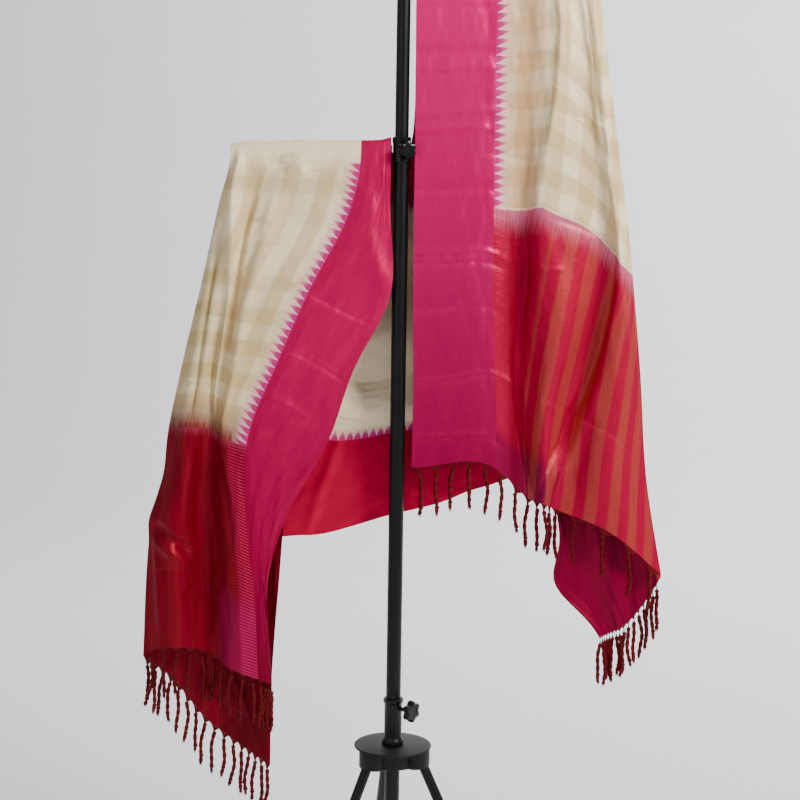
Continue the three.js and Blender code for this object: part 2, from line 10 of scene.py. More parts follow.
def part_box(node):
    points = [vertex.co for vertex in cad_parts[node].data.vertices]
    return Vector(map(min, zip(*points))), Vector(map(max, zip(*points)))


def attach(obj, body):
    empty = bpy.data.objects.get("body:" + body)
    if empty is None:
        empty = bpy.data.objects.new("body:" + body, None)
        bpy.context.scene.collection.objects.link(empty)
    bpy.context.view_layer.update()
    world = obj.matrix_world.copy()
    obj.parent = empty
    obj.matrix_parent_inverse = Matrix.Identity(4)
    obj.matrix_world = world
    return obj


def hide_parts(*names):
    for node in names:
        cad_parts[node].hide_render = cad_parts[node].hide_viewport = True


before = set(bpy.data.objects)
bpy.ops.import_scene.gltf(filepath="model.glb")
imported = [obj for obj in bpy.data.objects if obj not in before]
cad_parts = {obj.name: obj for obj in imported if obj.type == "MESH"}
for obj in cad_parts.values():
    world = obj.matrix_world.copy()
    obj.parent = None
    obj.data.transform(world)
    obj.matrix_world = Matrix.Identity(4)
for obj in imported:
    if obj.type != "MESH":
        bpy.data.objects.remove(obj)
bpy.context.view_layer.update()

mm = 0.001
tubeLow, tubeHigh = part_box("upper_tube")
postX = (tubeLow[0] + tubeHigh[0]) / 2
postY = (tubeLow[1] + tubeHigh[1]) / 2

# Camera, set from where the post, the arms and the base stand in the view.
view = {
    "aside": 0.004, "back": 3.43, "height": 1.700, "pitch": 7.8, "roll": 0.88, "lens": 83.7, "sensor": 36.0,
}


def addCamera():
    data = bpy.data.cameras.new("photoCamera")
    data.lens = view["lens"]
    data.sensor_width = view["sensor"]
    camera = bpy.data.objects.new("photoCamera", data)
    bpy.context.scene.collection.objects.link(camera)
    tilt = Euler((radians(90 - view["pitch"]), 0, 0)).to_matrix()
    tilt = tilt @ Matrix.Rotation(radians(view["roll"]), 3, "Z")
    place = (postX + view["aside"], postY - view["back"], view["height"])
    camera.matrix_world = Matrix.Translation(place) @ tilt.to_4x4()
    bpy.context.scene.camera = camera


addCamera()
print("camera placed")


# Shader maths: a Wire is one socket, and sums and products of wires are Math nodes.
class Wire:
    def __init__(self, finish, socket):
        self.finish = finish
        self.socket = socket

    def maths(self, operation, *others):
        return self.finish.node("Math", {"operation": operation}, dict(enumerate((self, *others))))

    def __add__(self, other):
        return self.maths("ADD", other)

    def __sub__(self, other):
        return self.maths("SUBTRACT", other)

    def __rsub__(self, other):
        return self.finish.node("Math", {"operation": "SUBTRACT"}, {0: other, 1: self})

    def __mul__(self, other):
        return self.maths("MULTIPLY", other)

    def __truediv__(self, other):
        return self.maths("DIVIDE", other)

    __radd__ = __add__
    __rmul__ = __mul__


class Finish:
    def __init__(self, name):
        self.material = bpy.data.materials.new(name)
        self.material.use_nodes = True
        self.tree = self.material.node_tree
        self.tree.nodes.clear()

    def node(self, kind, settings=None, inputs=None, output=0):
        made = self.tree.nodes.new("ShaderNode" + kind)
        for key, value in (settings or {}).items():
            setattr(made, key, value)
        for key, value in (inputs or {}).items():
            if isinstance(value, Wire):
                self.tree.links.new(value.socket, made.inputs[key])
            else:
                made.inputs[key].default_value = value
        return Wire(self, made.outputs[output]) if len(made.outputs) else None

    def mix(self, factor, first, second):
        return self.node("Mix", {"data_type": "RGBA"}, {0: factor, 6: first, 7: second}, 2)

    def layered(self, colour, *layers):  # each layer is its share and its colour
        for share, over in layers:
            colour = self.mix(share, colour, over)
        return colour

    def ramp(self, value, low, high, smoothly=True):
        kind = "SMOOTHSTEP" if smoothly else "LINEAR"
        sockets = {0: value, 1: low, 2: high, 3: 0.0, 4: 1.0}
        return self.node("MapRange", {"interpolation_type": kind, "clamp": True}, sockets)

    def noise(self, place, scale, detail=3.0, roughness=0.5):
        sockets = {"Vector": place, "Scale": scale, "Detail": detail, "Roughness": roughness}
        return self.node("TexNoise", None, sockets)

    def bump(self, strength, distance, height, below=None):
        sockets = {"Strength": strength, "Distance": distance, "Height": height}
        return self.node("Bump", None, sockets | ({"Normal": below} if below else {}))

    def join(self, x, y, z=0.0):
        return self.node("CombineXYZ", None, {0: x, 1: y, 2: z})

    def apart(self, place):
        return [self.node("SeparateXYZ", None, {0: place}, axis) for axis in (0, 1)]

    def surface(self, sockets):
        shader = self.node("BsdfPrincipled", None, sockets)
        self.node("OutputMaterial", None, {"Surface": shader})
        return self.material


def tone(red, green, blue):  # a colour seen on a screen, as light
    def light(value):
        share = value / 255
        return share / 12.92 if share <= 0.04045 else ((share + 0.055) / 1.055) ** 2.4
    return (light(red), light(green), light(blue), 1.0)


def meshObject(name, points, faces, finish, layerName=None, uv=None):
    mesh = bpy.data.meshes.new(name)
    mesh.from_pydata(points, [], faces)
    if layerName:
        layer = mesh.uv_layers.new(name=layerName)
        corners = np.empty(len(mesh.loops), dtype=np.int32)
        mesh.loops.foreach_get("vertex_index", corners)
        layer.data.foreach_set("uv", np.asarray(uv, float)[corners].ravel())
    mesh.polygons.foreach_set("use_smooth", np.ones(len(mesh.polygons), dtype=bool))
    mesh.materials.append(finish)
    mesh.update()
    made = bpy.data.objects.new(name, mesh)
    bpy.context.scene.collection.objects.link(made)
    return made


def onPost(points):  # from millimetres about the post's foot to metres in the frame
    return ((np.asarray(points, float) + [postX / mm, postY / mm, 0]) * mm).tolist()


# The silk. Lengths are metres on the cloth: across it from the neck edge, and up from the hem.
silk = {
    "width": 0.8, "border": 0.145, "toothHeight": 0.029, "toothPitch": 0.0148, "check": 0.032, "stripe": 0.047,
    # the pale top above the given height is a painted highlight where the cloth tops the arm
    "dyeLine": 0.47, "ladder": 0.0064, "thread": 0.0006, "pin": 0.0062, "shadow side to": 0.232, "top highlight from": 1.0,
    "shaded at": 0.205, "band at": 0.136, "far side": 0.40, "border edge": tone(150, 0, 50),
    "tooth": tone(190, 40, 120), "tooth gap": tone(244, 176, 180), "tan": tone(200, 156, 92),
    "pale": tone(255, 240, 198), "olive": tone(180, 156, 90), "gold": tone(182, 78, 60),
    # the deep crimson is painted shade, for a fold valley in the dyed end
    "magenta": tone(138, 0, 60), "mauve": tone(220, 120, 150), "deep": tone(104, 0, 14),
    # the far border colour is painted shade, for the border on the layer under the fold
    # the rose colour is painted shade, for the shadowed side of a fold in the cream
    "far border shade": tone(126, 0, 22), "shadow side tone": tone(194, 134, 92), "brown": tone(112, 12, 22),
    # the rib colour is a painted glint on the woven ribs
    "rib glint": tone(220, 40, 104), "pale edge": tone(252, 214, 190),
}
# Uneven patterns: scale across and up the cloth, shift, detail and roughness.
weave = {
    "threads": (1400.0, 6.0, 0.0, 2.0, 0.5), "slubs": (7.0, 420.0, 0.0, 3.0, 0.6),
    "patches": (16.0, 26.0, 0.0, 3.0, 0.55), "clouds": (5.0, 4.0, 3.0, 2.0, 0.5),
    "streaks": (420.0, 5.0, 2.0, 3.0, 0.6), "crumple": (34.0, 22.0, 7.0, 4.0, 0.55),
}


def silkFinish(name, cloth):
    f, s, c = Finish(name), silk, cloth
    u, v = f.apart(f.node("UVMap", {"uv_map": "cloth"}))
    fromEdge = u.maths("MINIMUM", s["width"] - u)

    def uneven(kind):
        across, up, shift, detail, roughness = weave[kind]
        return f.noise(f.join(u * across, v * up, shift), 1.0, detail, roughness)

    def bands(value, pitch, shift):
        return f.ramp((value * (2 * pi / pitch) + shift).maths("SINE"), -0.45, 0.45)

    threads, slubs, patches, clouds = (uneven(kind) for kind in ("threads", "slubs", "patches", "clouds"))

    # Cream field: soft checks, slubs and a few olive patches, a warm painted shade on the shadowed side of a
    # fold, and a painted highlight where the cloth tops the arm.
    upright = bands(u + (patches - 0.5) * 0.004, s["check"] * 2, 0.6)
    level = bands(v + (patches - 0.5) * 0.006, s["check"] * 2, 0.2)
    checks = c["checks"] * 0.62
    cream = f.layered(
        s["pale"],
        (upright * checks, s["tan"]),
        (level * f.ramp(clouds, 0.3, 0.6) * checks, s["tan"]),
        # Painted shade: the cream left of the fold edge, on its shadowed side, is warmed to a rose tan.
        (f.ramp(u, s["shadow side to"] + 0.014, s["shadow side to"]) * c["shadow side"], s["shadow side tone"]),
        (f.ramp(clouds, 0.25, 0.6) * c["aged"], s["olive"]),
        # Painted highlight: the cream turns pale above the arm, where the top of the cloth catches the light.
        (f.ramp(v, s["top highlight from"], s["top highlight from"] + 0.035), s["pale"]),
        (f.ramp(slubs, 0.56, 0.74) * 0.35, s["tan"]),
        (f.ramp(patches, 0.58, 0.74) * c["patches"], s["olive"]))

    # Gold and red stripes of the end, turning magenta close to the hem, with painted shade down a fold valley.
    stripe = bands(u + (threads - 0.5) * 0.0012, s["stripe"], c["stripe shift"])
    nearHem = f.ramp(v + (threads - 0.5) * 0.02, c["hem band"] * 1.3, c["hem band"] * 0.7)
    nearHem = nearHem * f.ramp(u, c["hem to"] + 0.05, c["hem to"])
    begun = f.ramp(u + (threads - 0.5) * 0.004, c["stripes from"], c["stripes from"] + 0.02)
    goldShare = stripe * begun * f.ramp(threads, 0.15, 0.6) * c["gold"]
    # Painted shade: a band of deep crimson down the fold valley near the border.
    shaded = f.ramp((u - s["shaded at"]).maths("ABSOLUTE"), 0.055, 0.0) * c["shaded"]
    end = f.layered(
        c["red"], (nearHem, s["magenta"]), (goldShare, s["gold"]),
        (shaded * f.ramp(threads, 0.1, 0.5), s["deep"]), (f.ramp(slubs, 0.6, 0.8) * 0.10, s["mauve"]))

    # The tied line: crisp dyed threads, with dye that crept up into the cream and thinned below the line.
    streaks = uneven("streaks")
    line = s["dyeLine"]
    frayed = v + (streaks - 0.5) * 0.05
    dyed = f.ramp(v + (threads - 0.5) * 0.006, line + 0.0015, line - 0.0015)
    crept = f.ramp(frayed, line + c["crept"], line - 0.01) * (0.35 + streaks)
    thinned = f.ramp(frayed, line - c["thinned"], line + 0.01) * (0.35 + streaks)
    paleLine = f.ramp((v - (line + 0.002)).maths("ABSOLUTE"), 0.0034, 0.0012)
    end = f.mix(thinned * c["thinned share"], end, s["mauve"])
    field = f.layered(
        cream, (crept * c["crept share"], s["brown"]), (dyed, end),
        (paleLine * c["pale line"], s["pale edge"]))

    # Borders with their rows of teeth, which become woven ribs in the dyed end, painted bright pink as glints.
    overEdge = fromEdge - s["border"]
    height = overEdge / s["toothHeight"]
    phase = (v - overEdge * c["tooth lean"]) / s["toothPitch"]
    spread = (phase.maths("FRACT") - 0.5).maths("ABSOLUTE") * 2.0
    leanIn = (1.0 - height).maths("MAXIMUM", 0.0).maths("POWER", 1.25)
    inRow = f.ramp(height, 1.02, 0.98) * f.ramp(height, -0.10, -0.05)
    inRow = inRow * f.ramp(v, c["teeth to"] + 0.006, c["teeth to"])
    tooth = f.ramp(leanIn - spread, -0.05, 0.05) * inRow
    inEnd = f.ramp(v, line + 0.004, line - 0.004)
    row = f.mix(tooth, s["tooth gap"], s["tooth"])
    # Partly painted highlight: the ribs follow the weave, and their bright pink is a painted glint.
    ladder = bands(v + (threads - 0.5) * 0.0008, s["ladder"], 0.0)
    ladder = ladder * f.ramp(height, 1.3, 1.1) * f.ramp(height, -0.05, 0.1)
    nearSide = f.ramp(u, s["far side"] + 0.02, s["far side"])
    field = f.layered(
        field, (f.ramp(height, 1.25, 0.2) * inRow * (1.0 - inEnd), row),
        (ladder * inEnd * nearSide * c["rib glint share"], s["rib glint"]))
    pin = bands(u, s["pin"], 0.0) * 0.04 + f.ramp(threads, 0.3, 0.8) * 0.07
    # Painted shade: past the far side the border is darkened, for the layer under the fold lying in the front
    # layer's shadow.
    farShadeMask = f.ramp(u, s["far side"], s["far side"] + 0.02)
    band = f.ramp((fromEdge - s["band at"]).maths("ABSOLUTE"), 0.010, 0.006)
    # Painted shade: the border darkens towards the hem, from the height each end sets, where the light falls
    # off down the drop.
    border = f.layered(
        c["border"], (farShadeMask * c["far shade"], s["far border shade"]), (pin, s["border edge"]),
        (band * 0.18, s["border edge"]),
        (f.ramp(v, c["shade from"], 0.0, False) * 0.85, c["shaded border"]))
    inBorder = f.ramp(overEdge, 0.0008, -0.0008)

    # Thread relief, slub relief and the teeth's slight float.
    turn = 2 * pi / s["thread"]
    relief = (u * turn).maths("SINE") * (v * turn).maths("SINE") * 0.05
    relief = relief + slubs * 0.35 + threads * 0.25 + tooth * (0.3 + inEnd * 0.9)
    dyedShare = inBorder + (1.0 - inBorder) * dyed
    return f.surface({
        "Base Color": f.mix(inBorder, field, border), "Metallic": dyedShare * 0.38 + 0.04,
        "Roughness": 0.38 + (threads - 0.5) * 0.14 + (1.0 - inBorder) * 0.05,
        "Normal": f.bump(0.55, 0.004, uneven("crumple"), f.bump(0.22, 0.0006, relief)),
        "Sheen Weight": 0.03, "Sheen Roughness": 0.4, "Sheen Tint": c["sheen"],
        "Specular IOR Level": 0.22, "Specular Tint": c["gloss"],
    })


# Cloth tables, in millimetres from the post's axis and from the floor. Each row is one fold
# line: place across the width, height at the hem, radius and lift over the arm, then how far
# aside it lies at each station down the drop. The depths say how far behind the post's axis it
# lies there, below zero in front.
drop = [0, 0.1, 0.27, 0.4, 0.53, 0.68, 0.84, 1]
turnsOverArm = [0, 45, 90, 135]
turnLength = 8
usualDrop = 1000
foldTurns = [0.2, 0.4, 0.6, 0.8]
underDepths = [
    [-10, -11.6, -11.6, -11.6, -11.6, -11.6, -11.6, -11.6], [-10, -7, -2, 2, 4, 6, 7, 8],
    [-10, -9, -8, -6, -5, -5, -4, -3], [-10, -7, -2, 2, 5, 8, 10, 11], [-10, -8, -5, -2, -1, 0, 1, 2],
]

leftEnd = {
    "armHeight": 1692, "hemStep": 4, "foldRound": 1.6,
    "front": [
        (0, 682, 9.2, 13, [-19, -19, -19, -82, -127, -203, -231, -230]),
        (145, 698, 10, 6, [-74, -89, -170, -225, -275, -278, -262, -255]),
        (215, 721, 12.4, 3, [-184, -229, -282, -304, -322, -308, -302, -308]),
        (280, 748, 12.4, 0, [-240, -268, -312, -328, -344, -352, -357, -357]),
        (340, 762, 12.4, 1, [-280, -306, -342, -360, -380, -404, -413, -409]),
        (400, 748, 12.4, 0, [-306, -330, -366, -395, -422, -452, -467, -471]),
    ],
    "frontDepths": [
        [-10, -12, -14, -14, -15, -16, -14, -12], [-10, -17, -27, -31, -33, -34, -30, -26],
        [-13, -22, -34, -37, -30, -38, -40, -36], [-13, -17, -22, -22, -19, -11, -9, -11],
        [-13, -25, -36, -42, -46, -50, -49, -44], [-13, -14, -14, -14, -14, -14, -14, -14],
    ],
    "under": [
        (400, 735, 9.2, 0, [-303, -328, -364, -393, -420, -450, -465, -474]),
        (500, 684, 9.2, 0, [-280, -293, -320, -342, -366, -392, -405, -418]),
        (590, 614, 9.2, 0, [-255, -264, -281, -296, -314, -333, -342, -357]),
        (680, 560, 9.2, 0, [-228, -234, -243, -250, -260, -270, -280, -294]),
        (800, 520, 9.2, 0, [-196, -196, -198, -201, -207, -218, -231, -234]),
    ],
    "lengthScale": 1.044, "lean": (-2, -5),
    "facing": 1, "pleat": [(0, 0), (800, 0)], "dyeShift": [(0, 0), (800, 0)],
    "pulls": [  # place on the cloth, its reach both ways, and the shift
        (400, 640, 70, 60, (10, 0, 0)), (0, 800, 60, 95, (-11, 0, 0)), (400, -8, 45, 55, (-5, 0, -6)),
        (400, 735, 60, 26, (-4, -3, 0)), (610, 28, 150, 20, (0, 7, 0)),
    ],
    "creases": [  # rise towards the outer face, half width, and points: across, and down from the arm
        (-7, 12, (300, 16), (255, 24), (224, 32)), (-7, 10, (208, 30), (190, 24), (168, 14)),
        (5, 8, (214, 6), (209, 34), (202, 80)), (-2.6, 6, (213, 24), (204, 60), (189, 150)),
        (17, 15, (392, -60), (328, 142), (285, 295), (259, 600)),
        (-9, 12, (296, 50), (266, 177), (240, 287), (240, 470)),
        (-13, 15, (368, 60), (350, 260), (345, 420), (342, 560)),
        (9, 9, (222, 40), (209, 190), (208, 302), (209, 476), (219, 560)),
        (6, 22, (140, 50), (94, 150), (28, 227), (-12, 290)),
        (-3.2, 5, (150, 260), (105, 282), (57, 301), (-8, 320)),
        (-3.0, 5, (148, 364), (104, 379), (55, 399), (-10, 430)),
        (-1.6, 4, (268, 216), (199, 239), (147, 284)), (4, 12, (150, 450), (85, 477), (30, 510)),
        (-4, 14, (120, 520), (70, 560), (10, 600)), (-9, 17, (292, 548), (296, 696), (285, 816), (279, 990)),
        (-8, 10, (404, 735), (343, 780), (296, 806)), (5, 9, (398, 764), (345, 808), (300, 838)),
        (4, 6, (388, 760), (373, 858), (367, 1000)), (-1.6, 4, (392, 841), (326, 841), (284, 848)),
        (6, 8, (99, 806), (45, 836), (-6, 872)), (-2.2, 5, (322, 906), (291, 858)),
        (-3, 16, (230, 610), (215, 760), (225, 940)), (6, 16, (520, 60), (545, 300), (530, 560)),
        (-6, 14, (610, 110), (624, 380), (604, 660)), (5, 12, (706, 60), (690, 300), (712, 540)),
        (-1.5, 5, (430, 262), (600, 268), (810, 260)), (1.4, 5, (430, 505), (620, 500), (810, 510)),
        (-1.4, 5, (440, 742), (640, 748), (810, 740)), (-3, 8, (640, 890), (710, 948), (780, 1000)),
        (3, 8, (540, 915), (606, 940), (676, 975)), (-2, 5, (470, 340), (540, 380), (600, 372)),
        (2, 5, (650, 610), (720, 640), (800, 632)),
    ],
    "waves": [(0.9, 70, 0.4, 260, 1.0), (0.6, 41, 2.1, 170, 0.2), (0.35, 23, 1.2, 95, 2.6)],
}

rightEnd = {
    "armHeight": 2095, "hemStep": 4, "foldRound": 1.6,
    "front": [
        (0, 1105, 9.2, 2, [22, 22, 23, 24, 24, 25, 28, 27]),
        (145, 1106, 9.5, 1, [120, 160, 167, 168, 170, 173, 180, 186]),
        (200, 1054, 9.8, 0, [165, 213, 224, 221, 220, 224, 229, 241]),
        (265, 1043, 12.4, 2, [215, 262, 276, 264, 264, 285, 272, 276]),
        (325, 1027, 12.4, 0, [260, 306, 336, 350, 368, 362, 322, 306]),
        (380, 992, 12.4, 1, [302, 334, 360, 380, 400, 402, 392, 399]),
        (440, 909, 12.4, 0, [337, 354, 383, 408, 428, 446, 464, 499]),
    ],
    "frontDepths": [
        [-10, -12, -14, -14, -14, -14, -14, -13], [-10, -18, -26, -28, -28, -28, -26, -24],
        [-10, -16, -20, -17, -12, -8, -7, -10], [-13, -25, -34, -38, -40, -44, -42, -36],
        [-13, -18, -23, -23, -18, -11, -9, -12], [-13, -24, -33, -38, -43, -48, -48, -40],
        [-13, -14, -14, -14, -14, -14, -14, -14],
    ],
    "under": [
        (440, 898, 9.2, 0, [334, 352, 381, 406, 426, 444, 462, 496]),
        (530, 842, 9.2, 0, [310, 325, 350, 370, 388, 404, 430, 468]),
        (610, 806, 9.2, 0, [283, 293, 311, 326, 341, 352, 370, 434]),
        (690, 790, 9.2, 0, [255, 262, 276, 288, 300, 318, 342, 412]),
        (800, 781, 9.2, 0, [222, 226, 234, 244, 257, 280, 308, 392]),
    ],
    "lengthScale": 0.969, "lean": (1, 2),
    "facing": -1, "pleat": [(0, 0), (176, 0), (210, 90), (800, 90)],
    "dyeShift": [(0, 0), (145, 2), (200, 25), (261, 36), (300, 13), (330, -14), (350, -27), (385, -33),
                 (440, -12), (800, 0)],
    "pulls": [(800, 922, 95, 48, (-46, 0, 0)), (440, 700, 60, 120, (2, 0, 0)), (600, 700, 70, 140, (0, 7, 0))],
    "creases": [
        (-1.5, 6, (-30, 152), (70, 150), (170, 152)), (-2.8, 11, (-30, 230), (72, 233), (175, 232)),
        (2.4, 6, (-30, 259), (72, 260), (175, 256)), (2.1, 6, (-30, 341), (72, 342), (190, 329)),
        (1.8, 6, (-30, 371), (72, 371), (175, 368)), (-1.7, 7, (-30, 481), (74, 484), (175, 476)),
        (2.8, 7, (-30, 592), (74, 602), (185, 592)), (-2.6, 7, (-30, 612), (74, 620), (175, 611)),
        (-1.5, 7, (-30, 699), (74, 701), (175, 697)), (2.6, 7, (-30, 833), (72, 841), (220, 800)),
        (-1.8, 7, (-30, 940), (80, 950), (175, 944)), (6, 5, (284, -160), (280, 60), (270, 230), (258, 480)),
        (-3, 12, (262, -160), (256, 60), (246, 230), (236, 480)),
        (-9, 10, (222, 530), (199, 684), (190, 833), (208, 985)), (5, 6, (176, 780), (187, 886), (200, 985)),
        (-8, 7, (362, 500), (338, 678), (331, 801), (311, 888), (238, 995)),
        (7, 9, (386, 520), (358, 690), (350, 805), (334, 900), (262, 1010)),
        (6, 13, (415, 540), (372, 694), (365, 818), (359, 1000)),
        (4, 18, (292, 470), (286, 640), (270, 800)),
        (-2.0, 4, (182, 813), (261, 810), (320, 826), (372, 830), (423, 825)),
        (1.8, 4, (235, 574), (263, 588), (284, 580)), (-1.8, 4, (216, 659), (236, 673), (254, 657)),
        (2.0, 4, (310, 320), (372, 329), (430, 321)), (-1.8, 4, (276, 312), (313, 321), (352, 331)),
        (-1.8, 6, (120, 417), (219, 398), (268, 391)), (-2.4, 7, (160, 232), (215, 225), (270, 221)),
        (-1.4, 4, (166, 152), (228, 144), (282, 140)), (1.6, 4, (285, 404), (298, 426), (310, 410)),
        (-1.6, 4, (272, 492), (311, 514), (366, 536)),
        (3.2, 5, (426, 200), (428, 551), (430, 848), (426, 985)),
        (-2.6, 7, (400, 160), (404, 420), (402, 560)), (2.4, 10, (340, -10), (336, 180), (350, 420)),
        (-4, 9, (800, 800), (765, 888), (767, 960)), (4, 8, (622, 880), (621, 945), (606, 1000)),
        (7, 16, (530, 60), (560, 320), (545, 640)), (-6, 14, (626, 120), (640, 420), (618, 760)),
        (5, 12, (716, 50), (704, 330), (722, 600)), (-1.5, 5, (470, 232), (620, 240), (810, 236)),
        (1.4, 5, (470, 484), (640, 478), (810, 486)), (-1.4, 5, (470, 700), (650, 706), (810, 698)),
        (2, 5, (500, 380), (570, 410), (640, 396)), (-2, 5, (660, 560), (720, 590), (790, 584)),
    ],
    "waves": [(0.8, 66, 1.4, 240, 0.3), (0.5, 37, 0.6, 180, 1.9), (0.35, 21, 2.2, 88, 0.8)],
}

# The stretch behind the post, from the left arm to the right one: each row a fold line along it.
backSwag = {
    "step": 5, "tuck": 0.8, "crossings": 9, "crossingStep": 200, "rowStep": 9, "bridge": 8, "fold": 450,
    "still along": 120, "still beside": 30, "neck border": 145, "low border": 655, "share from": 250,
    "share over": 300, "woven from": 1.1,
    "upper": [
        (0, [-19, -18, -12, 0, 12, 20, 24, 26, 24], [9.2, 17, 21, 23, 23, 22, 20, 16, 9.2],
         [1692, 1688, 1686, 1687, 1694, 1720, 1800, 1950, 2095]),
        (145, [-74, -72, -50, -20, 20, 60, 95, 112, 118], [9.2, 26, 35, 39, 40, 39, 35, 23, 9.2],
         [1692, 1650, 1615, 1600, 1597, 1640, 1750, 1930, 2095]),
        (215, [-125, -122, -88, -42, 16, 76, 130, 158, 166], [9.8, 21, 28, 31, 32, 31, 28, 20, 9.8],
         [1692, 1622, 1560, 1534, 1535, 1590, 1716, 1915, 2095]),
        (300, [-190, -182, -135, -68, 10, 92, 165, 205, 218], [12.4, 33, 48, 54, 56, 54, 46, 29, 12.4],
         [1692, 1585, 1485, 1440, 1442, 1505, 1660, 1890, 2095]),
        (375, [-245, -240, -186, -96, 8, 108, 205, 258, 278], [12.4, 28, 39, 43, 44, 43, 37, 26, 12.4],
         [1692, 1560, 1425, 1352, 1352, 1420, 1600, 1862, 2095]),
        (450, [-300, -302, -240, -122, 5, 122, 238, 306, 334], [12.4, 34, 53, 62, 64, 62, 53, 32, 12.4],
         [1692, 1530, 1365, 1265, 1268, 1330, 1530, 1830, 2095]),
    ],
    "lower": [
        (450, [-200, -218, -220, -122, 5, 122, 222, 262, 262], [9.2, 21, 44, 62, 64, 62, 45, 22, 9.2],
         [1692, 1530, 1355, 1263.4, 1266.4, 1328.4, 1520, 1830, 2095]),
        (550, [-240, -266, -242, -128, -2, 126, 254, 292, 290], [9.2, 17, 30, 40, 42, 40, 30, 18, 9.2],
         [1692, 1450, 1262, 1205, 1215, 1262, 1420, 1740, 2095]),
        (655, [-270, -298, -262, -131, -10, 122, 266, 314, 310], [9.2, 18, 35, 49, 53, 51, 34, 18, 9.2],
         [1692, 1400, 1185, 1145, 1160, 1196, 1320, 1670, 2095]),
        (730, [-285, -318, -276, -150, -12, 121, 270, 330, 322], [9.2, 16, 26, 36, 40, 39, 27, 16, 9.2],
         [1692, 1360, 1090, 1052, 1080, 1120, 1232, 1612, 2095]),
        (800, [-300, -332, -285, -170, -14, 120, 270, 340, 334], [9.2, 15, 22, 33, 37, 36, 24, 15, 9.2],
         [1692, 1330, 1005, 964, 1004, 1046, 1150, 1560, 2095]),
    ],
    "waves": [(0.9, 80, 0.7, 210, 0.5), (0.6, 45, 1.9, 130, 1.4), (0.35, 27, 0.3, 90, 2.2)],
    "creases": [
        (1.6, 3, (496, 600), (484, 716), (492, 820)), (1.4, 3, (474, 690), (545, 723), (645, 742)),
        (1.2, 4, (530, 610), (494, 662), (480, 740)), (5, 14, (640, 640), (730, 610), (810, 600)),
        (-5, 12, (630, 860), (730, 880), (810, 885)), (4, 10, (650, 1010), (730, 1020), (810, 1030)),
        (5, 12, (170, 560), (260, 640), (340, 780)), (-5, 11, (150, 760), (250, 860), (400, 940)),
        (5, 13, (520, 240), (600, 420), (640, 600)), (-5, 12, (500, 1350), (590, 1150), (640, 950)),
        (-1.5, 5, (-10, 520), (220, 530), (430, 524)), (1.5, 5, (-10, 1010), (220, 1000), (430, 1006)),
        (1.5, 5, (490, 330), (640, 336), (810, 328)), (-1.5, 5, (490, 1230), (640, 1236), (810, 1240)),
    ],
}


# Points on the smooth curve through values that stand at the given knots.
def smooth(knots, values, at):
    knots, values, at = np.asarray(knots, float), np.asarray(values, float), np.asarray(at, float)
    span = np.diff(knots)
    wide = (slice(None),) + (None,) * (values.ndim - 1)
    slope = np.diff(values, axis=0) / span[wide]
    tangent = np.empty_like(values)
    tangent[0], tangent[-1] = slope[0], slope[-1]
    before, after = span[:-1][wide], span[1:][wide]
    tangent[1:-1] = (slope[:-1] * after + slope[1:] * before) / (before + after)
    i = np.clip(np.searchsorted(knots, at, side="right") - 1, 0, len(knots) - 2)
    t = ((at - knots[i]) / span[i])[wide]
    enter, leave, rise = tangent[i] * span[i][wide], tangent[i + 1] * span[i][wide], values[i + 1] - values[i]
    bend, twist = 3 * rise - 2 * enter - leave, enter + leave - 2 * rise
    return values[i] + enter * t + bend * t ** 2 + twist * t ** 3


def spaced(knots, step):  # every knot, with even steps of about this size between them
    places = [knots[0]]
    for low, high in zip(knots, knots[1:]):
        count = max(1, round((high - low) / step))
        places += [low + (high - low) * k / count for k in range(1, count + 1)]
    return np.array(places, float)


def hangingPaths(rows, depths, armHeight):
    paths = []
    for (width, hem, arm, lift, x), y in zip(rows, depths):
        turns = [radians(turn) for turn in turnsOverArm]
        path = [(x[0], arm * cos(turn), armHeight + (arm + lift) * sin(turn)) for turn in turns]
        path += [(x[k], y[k], armHeight + (hem - armHeight) * share) for k, share in enumerate(drop)]
        paths.append(path)
    return np.array(paths)


overArm = len(turnsOverArm)
hangingStations = [(k - overArm) * turnLength for k in range(overArm)] + [s * usualDrop for s in drop]


def gridFrom(widths, paths, stations, columns, rows):  # the result is rows x columns x 3
    along = smooth(stations, np.swapaxes(paths, 0, 1), rows)
    return np.swapaxes(smooth(widths, np.swapaxes(along, 0, 1), columns), 0, 1)


def normalsOf(grid):
    side = np.gradient(grid, axis=1)
    down = np.gradient(grid, axis=0)
    normals = np.cross(side, down)
    return normals / np.maximum(np.linalg.norm(normals, axis=2, keepdims=True), 1e-9)


def creaseField(creases, across, along):  # each crease runs through points on the cloth, deepest at its middle
    field = np.zeros(across.shape)
    for depth, halfWidth, *points in creases:
        best = np.full(across.shape, 1e9)
        share = np.zeros(across.shape)
        count = len(points) - 1
        for k, ((ax, ay), (bx, by)) in enumerate(zip(points, points[1:])):
            length = (bx - ax) ** 2 + (by - ay) ** 2
            t = np.clip(((across - ax) * (bx - ax) + (along - ay) * (by - ay)) / length, 0, 1)
            away = np.hypot(across - ax - t * (bx - ax), along - ay - t * (by - ay))
            share = np.where(away < best, (k + t) / count, share)
            best = np.minimum(best, away)
        field += depth * np.exp(-(best / halfWidth) ** 2) * np.clip(np.sin(np.pi * share) * 1.8, 0.0, 1.0)
    return field


def waveField(waves, across, along):
    field = np.zeros(across.shape)
    for size, widePitch, wideShift, longPitch, longShift in waves:
        bend = along + 18 * np.sin(across / 61 + longShift)
        field += size * np.sin(across * 2 * pi / widePitch + wideShift + 0.9 * np.sin(along / 83)) * (
            np.sin(bend * 2 * pi / longPitch + longShift))
    return field


def clothObject(name, grid, uv, finish):
    index = np.arange(grid.shape[0] * grid.shape[1]).reshape(grid.shape[:2])
    faces = np.stack([index[:-1, :-1], index[1:, :-1], index[1:, 1:], index[:-1, 1:]], axis=-1).reshape(-1, 4)
    return meshObject(name, onPost(grid.reshape(-1, 3)), faces.tolist(), finish, "cloth", uv.reshape(-1, 2))


